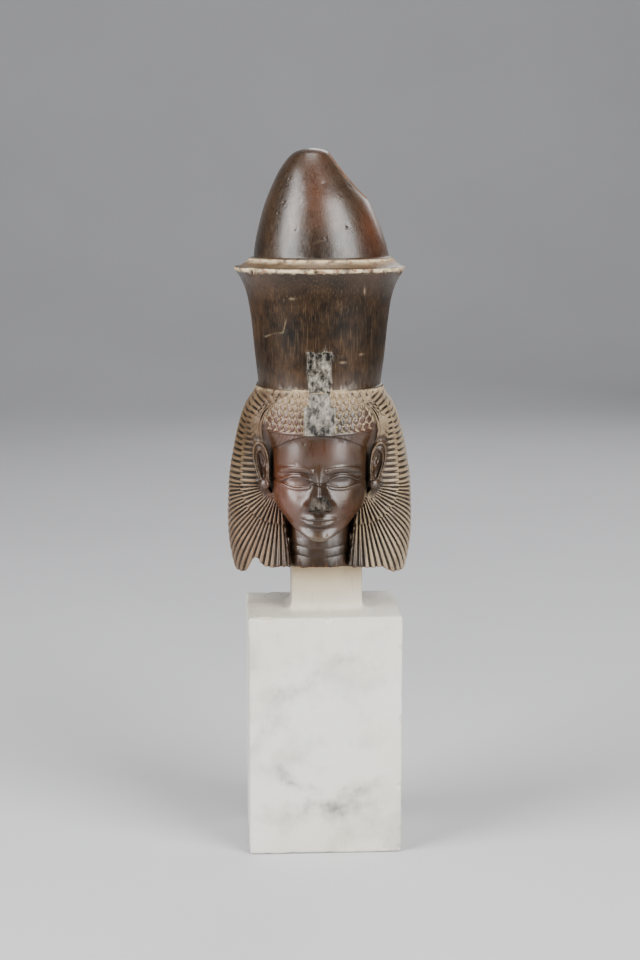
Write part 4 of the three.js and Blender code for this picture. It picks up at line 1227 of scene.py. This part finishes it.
# %% The stone's body: dark, umber and red-brown
dark_stone, tree, shader, place = new_material("polished_dark_stone")
clouds = noise_of(tree, place, 42.0, 5.0, 0.6)
spots = noise_of(tree, place, 240.0, 5.0, 0.65)
grain = place_group(tree, grain_group, Place=place, Scale=2600.0)
scratches = place_group(tree, scratch_group, Place=place, Scale=2600.0)
feathers, cap, crown_part = values_on_mesh(tree, "feathers", "cap", "crown")
groove_value, crest_value = values_on_mesh(tree, "groove", "crest")
scar_value, broken_value, deposit_value = values_on_mesh(tree, "scar", "broken", "deposit")
warm_value, dim_and_reflection_value, pale_dust_and_sheen_value = values_on_mesh(tree, "warm", "dim_and_dark_reflection", "pale_dust_and_sheen")
body = blend_of(tree, range_of(tree, clouds, 0.38, 0.62), DARK_BROWN, UMBER)
warm_share = times(tree, warm_value, range_of(tree, clouds, 0.25, 0.55, 0.55, 1.0))
body = blend_of(tree, warm_share, body, RED_BROWN)
# Near black over the dim spots: on the drum this is a painted dark reflection.
dim_and_reflection_share = math_of(tree, "ADD", dim_and_reflection_value, 0.12)
dim_and_reflection_share = times(tree, dim_and_reflection_share, range_of(tree, spots, 0.38, 0.66), clamp=True)
body = blend_of(tree, dim_and_reflection_share, body, NEAR_BLACK)
stroke_share = times(tree, scratches["Strokes"], crown_part, 0.18)
body = blend_of(tree, stroke_share, body, TAN)
print("body made of", len(tree.nodes), "nodes")

# %% Feathers, dust, pale lines, painted shade in the feather grooves and a painted sheen on the right
strand = blend_of(tree, warm_value, TAN, ROSE_TAN)
strand = blend_of(tree, range_of(tree, clouds, 0.42, 0.66, 0.0, 0.55), strand, UMBER)
strand = blend_of(tree, times(tree, dim_and_reflection_value, 0.7), strand, DARK_BROWN)
# Paler strands on the right are a painted sheen; paler cap scales near the top are dust.
strand = blend_of(tree, times(tree, pale_dust_and_sheen_value, 0.38), strand, CREAM)
on_strand = times(tree, feathers, range_of(tree, groove_value, 0.3, 0.08, 0.0, 0.72))
on_strand = times(tree, on_strand, range_of(tree, spots, 0.3, 0.55, 0.55, 1.0))
body = blend_of(tree, on_strand, body, strand)
# Painted shade: the feather grooves are blended towards near black.
groove_painted_shade = times(tree, feathers, range_of(tree, groove_value, 0.28, 0.5, 0.0, 0.9))
body = blend_of(tree, groove_painted_shade, body, NEAR_BLACK)
body = blend_of(tree, times(tree, pale_dust_and_sheen_value, cap), body, TAN)
cap_line = times(tree, cap, range_of(tree, groove_value, 0.16, 0.44, 0.0, 0.7))
body = blend_of(tree, cap_line, body, CREAM)
aged_stone = place_group(tree, age_group, Place=place, Colour=body, Dust_Colour=CREAM, Wear_Colour=TAN,
                         Groove=groove_value, Crest=crest_value, Dust=0.12, Wear=0.6)
pale_line = times(tree, deposit_value, range_of(tree, spots, 0.38, 0.52))
surface = blend_of(tree, pale_line, aged_stone["Colour"], CREAM)
rust_noise = noise_of(tree, place, 420.0, 4.0, 0.6)
rust = times(tree, deposit_value, range_of(tree, rust_noise, 0.54, 0.62, 0.0, 0.8))
surface = blend_of(tree, rust, surface, ORANGE_BREAK)

# %% Broken places
raw = blend_of(tree, range_of(tree, spots, 0.42, 0.6), ORANGE_BREAK, UMBER)
surface = blend_of(tree, broken_value, surface, raw)
pitted = noise_of(tree, place, 430.0, 6.0, 0.7, (1.0, 1.0, 0.6))
grey = blend_of(tree, range_of(tree, pitted, 0.41, 0.62), DARK_BREAK, GREY_BREAK)
surface = blend_of(tree, scar_value, surface, grey)
tree.links.new(surface, shader.inputs["Base Color"])
print("broken stone is", [round(c, 2) for c in GREY_BREAK[:3]], "to", [round(c, 2) for c in DARK_BREAK[:3]])

# %% Polish, scratches and grain
unpolished = math_of(tree, "MAXIMUM", broken_value, scar_value)
unpolished = math_of(tree, "MAXIMUM", unpolished, math_of(tree, "MAXIMUM", pale_line, cap_line))
dull = times(tree, unpolished, 0.42)
dull = math_of(tree, "ADD", dull, times(tree, feathers, 0.14))
gloss = range_of(tree, scratches["Height"], 0.7, 1.3, 0.24, 0.42)
gloss = math_of(tree, "ADD", gloss, times(tree, dim_and_reflection_value, 0.2))
tree.links.new(math_of(tree, "ADD", gloss, dull, clamp=True), shader.inputs["Roughness"])
relief = math_of(tree, "ADD", times(tree, scratches["Height"], 0.5), grain["Height"])
pits = times(tree, pitted, scar_value, 5.0)
tree.links.new(bump_of(tree, math_of(tree, "ADD", relief, pits), 0.5, 0.00012), shader.inputs["Normal"])
tree.links.new(range_of(tree, dim_and_reflection_value, 0.0, 0.5, 0.7, 0.2), shader.inputs["Specular IOR Level"])
where_bright = range_of(tree, dim_and_reflection_value, 0.0, 0.5, 1.0, 0.0)
polish = times(tree, range_of(tree, dull, 0.0, 0.2, 0.7, 0.0), where_bright)
tree.links.new(polish, shader.inputs["Coat Weight"])
shader.inputs["Coat Roughness"].default_value = 0.26
head_mesh.materials.append(dark_stone)
print("dark stone has", len(tree.nodes), "nodes")

# %% [markdown]
# ## The white marble
#
# Marble is white with soft grey veins, where other minerals run through it in bent sheets. A wave texture
# gives regular stripes, which look false. Here each vein is a distance to a slanted plane, bent by noise
# and broken up by a second noise, so that every vein lies where the block shows one.

# %% One soft vein
vein_group, given, out = new_group(
    "soft vein",
    {"Place": ORIGIN, "Point": ORIGIN, "Across": (1.0, 0.0, 0.0), "Width": 0.002, "Reach": 0.02,
     "Strength": 0.6},
    {"Mask": 0.0})


def vector_of(tree, operation, a, b):
    node = tree.nodes.new("ShaderNodeVectorMath")
    node.operation = operation
    set_socket(tree, node.inputs[0], a)
    if b is not None:
        set_socket(tree, node.inputs[1], b)
    return node.outputs["Value" if operation in ("DOT_PRODUCT", "LENGTH") else "Vector"]


bend = noise_of(vein_group, given["Place"], 70.0, 5.0, 0.6)
bend_by = times(vein_group, math_of(vein_group, "SUBTRACT", bend, 0.5), 0.022)
offset = vector_of(vein_group, "SUBTRACT", given["Place"], given["Point"])
sheet = math_of(vein_group, "ADD", vector_of(vein_group, "DOT_PRODUCT", offset, given["Across"]), bend_by)
thin_line = range_of(vein_group, math_of(vein_group, "ABSOLUTE", sheet), given["Width"], 0.0)
far_off = vector_of(vein_group, "LENGTH", offset, None)
fading = range_of(vein_group, far_off, given["Reach"], times(vein_group, given["Reach"], 0.35))
patchy = range_of(vein_group, noise_of(vein_group, given["Place"], 170.0, 5.0, 0.6), 0.3, 0.68)
vein_mask = times(vein_group, thin_line, fading, patchy, given["Strength"])
vein_group.links.new(vein_mask, out["Mask"])
print("vein group:", [s.name for s in given if s.name])

# %% Veins by their place on the block, in millimetres: point, direction across, width, reach, strength
VEINS = [
    ((-3, -18, 62), (0.4, 0.2, -0.89), 4.0, 27, 0.42),
    ((-19, -18, 44), (0.94, 0.2, -0.3), 4.0, 20, 0.35),
    ((4, -18, 18), (-0.25, 0.25, 0.93), 4.6, 21, 0.8),
    ((-12, -18, 26), (0.3, 0.2, 0.93), 3.6, 14, 0.6),
    ((20, 8, 40), (0.2, 0.9, 0.4), 3.0, 34, 0.5),
    ((-22, 10, 55), (0.3, 0.8, -0.5), 3.0, 30, 0.5),
    ((0, 18, 50), (0.5, 0.2, 0.84), 3.4, 40, 0.6),
    ((6, 18, 22), (-0.4, 0.2, 0.9), 2.6, 26, 0.5)]
MARBLE_WHITE = colour(216, 215, 208)
MARBLE_WARM = colour(206, 197, 176)
STEM_STAIN_AND_SHADOW = colour(165, 148, 118)
MARBLE_WORN = colour(232, 224, 202)
VEIN_GREY = colour(104, 105, 104)
STAIN = colour(150, 98, 56)
print(len(VEINS), "veins")

# %% The marble's material
white_marble, tree, shader, place = new_material("polished_white_marble")
clouds = noise_of(tree, place, 26.0, 4.0, 0.5)
marble_body = blend_of(tree, range_of(tree, clouds, 0.4, 0.75, 0.0, 0.7), MARBLE_WHITE, MARBLE_WARM)
haze = noise_of(tree, place, 55.0, 5.0, 0.6)
marble_body = blend_of(tree, range_of(tree, haze, 0.5, 0.75, 0.0, 0.34), marble_body, VEIN_GREY)
for point, across, width, reach, strength in VEINS:
    vein = place_group(tree, vein_group, Place=place, Point=[v * MM for v in point], Across=across,
                       Width=width * MM, Reach=reach * MM, Strength=strength)
    marble_body = blend_of(tree, vein["Mask"], marble_body, VEIN_GREY)
grain = place_group(tree, grain_group, Place=place, Scale=1300.0)
scratches = place_group(tree, scratch_group, Place=place, Scale=700.0)
crest_value, groove_value = values_on_mesh(tree, "crest", "groove")
stain_noise = range_of(tree, noise_of(tree, place, 150.0, 4.0, 0.7), 0.62, 0.72)
stains = times(tree, stain_noise, range_of(tree, crest_value, 0.15, 0.5, 0.0, 0.75))
marble_body = blend_of(tree, stains, marble_body, STAIN)
# The stem darkens and warms towards its top: a real tan stain and the painted shadow of the head.
height = tree.nodes.new("ShaderNodeSeparateXYZ")
tree.links.new(place, height.inputs["Vector"])
stem_stain_and_shadow = range_of(tree, height.outputs["Z"], 0.079, 0.097, 0.0, 1.0)
marble_body = blend_of(tree, stem_stain_and_shadow, marble_body, STEM_STAIN_AND_SHADOW)
aged_marble = place_group(tree, age_group, Place=place, Colour=marble_body, Dust_Colour=MARBLE_WARM,
                          Wear_Colour=MARBLE_WORN, Groove=groove_value, Crest=crest_value,
                          Dust=0.6, Wear=0.6)
tree.links.new(aged_marble["Colour"], shader.inputs["Base Color"])
gloss = range_of(tree, scratches["Height"], 0.7, 1.3, 0.26, 0.4)
tree.links.new(gloss, shader.inputs["Roughness"])
relief = math_of(tree, "ADD", times(tree, scratches["Height"], 0.3), grain["Height"])
tree.links.new(bump_of(tree, relief, 0.15, 0.00008), shader.inputs["Normal"])
mount_mesh.materials.append(white_marble)
print("marble has", len(tree.nodes), "nodes")

# %% [markdown]
# ## Studio
#
# A photographer lights polished stone with two tall soft boxes, one on each side, because a glossy round
# form shows the lamps themselves. Their reflections make the two broad upright highlights on the crown's
# bulb. Two weak ones, above and behind, lift the top edges. The floor is a pale sheet that curves up far
# behind.

# %% Floor
SWEEP_FROM, SWEEP_ROUND, SWEEP_HIGH = 0.9, 0.7, 3.0


def sweep_line(steps=24):
    line = [(-3.0, 0.0)]
    for n in range(steps + 1):
        turn = math.pi / 2 * n / steps
        line.append((SWEEP_FROM + SWEEP_ROUND * math.sin(turn), SWEEP_ROUND * (1 - math.cos(turn))))
    return line + [(SWEEP_FROM + SWEEP_ROUND, SWEEP_HIGH)]


line = sweep_line()
sweep_points = [(x, y, z) for y, z in line for x in (-3.5, 3.5)]
sweep_faces = [(2 * n, 2 * n + 1, 2 * n + 3, 2 * n + 2) for n in range(len(line) - 1)]
floor_mesh = bpy.data.meshes.new("floor")
floor_mesh.from_pydata(sweep_points, [], sweep_faces)
floor_mesh.polygons.foreach_set("use_smooth", [True] * len(sweep_faces))
floor = bpy.data.objects.new("floor", floor_mesh)
bpy.context.scene.collection.objects.link(floor)
floor_paper, tree, shader, place = new_material("floor_paper")
paper = noise_of(tree, place, 9.0, 2.0, 0.4)
paper = blend_of(tree, paper, colour(196, 196, 198), colour(204, 204, 206))
tree.links.new(paper, shader.inputs["Base Color"])
shader.inputs["Roughness"].default_value = 0.8
floor_mesh.materials.append(floor_paper)
print("floor laid at z = 0")

# %% Soft boxes
def soft_box(name, at, aim, size, energy):
    lamp = bpy.data.lights.new(name, "AREA")
    lamp.shape = "RECTANGLE"
    lamp.size, lamp.size_y = size
    lamp.energy = energy
    holder = bpy.data.objects.new(name, lamp)
    bpy.context.scene.collection.objects.link(holder)
    away = (Vector(at) - Vector(aim)).normalized()
    holder.matrix_world = Matrix.Translation(at) @ away.to_track_quat("Z", "Y").to_matrix().to_4x4()


AIM = (0, 0, 0.16)
soft_box("left_box", (-0.68, -0.36, 0.48), AIM, (0.46, 1.15), 11.0)
soft_box("right_box", (0.54, -0.58, 0.48), AIM, (0.56, 1.15), 12.5)
soft_box("top_box", (0.0, 0.1, 1.0), (0, 0, 0), (0.4, 0.4), 1.5)
soft_box("back_box", (0.3, 0.75, 0.5), AIM, (0.6, 0.4), 1.2)
world = bpy.data.worlds.new("studio")
world.use_nodes = True
world.node_tree.nodes["Background"].inputs["Color"].default_value = colour(140, 141, 145)
world.node_tree.nodes["Background"].inputs["Strength"].default_value = 0.22
bpy.context.scene.world = world
bpy.context.scene.view_settings.look = "AgX - Medium High Contrast"
bpy.context.scene.view_settings.exposure = 0.1
print("four soft boxes")

# %% [markdown]
# ## Camera
#
# The camera stands a little left of the middle and looks down by eleven degrees, from nearly 70 cm away,
# with a long lens. A long lens from further off keeps the upright edges of the plinth nearly parallel.

# %% Camera
CAMERA_AT = (-0.0391, -0.6823, 0.2585)
LOOKS_DOWN, TURNED_RIGHT = 11.086, 3.2
lens = bpy.data.cameras.new("camera")
lens.sensor_width = 36.0
lens.lens = 78.3
camera = bpy.data.objects.new("camera", lens)
camera.location = CAMERA_AT
camera.rotation_euler = (math.radians(90 - LOOKS_DOWN), 0, math.radians(-TURNED_RIGHT))
bpy.context.scene.collection.objects.link(camera)
bpy.context.scene.camera = camera
print("camera", [round(v, 3) for v in camera.location])

# %% [markdown]
# ## Finish
#
# The carved pieces have to keep the imported model's size.

# %% Finish
bpy.context.view_layer.update()
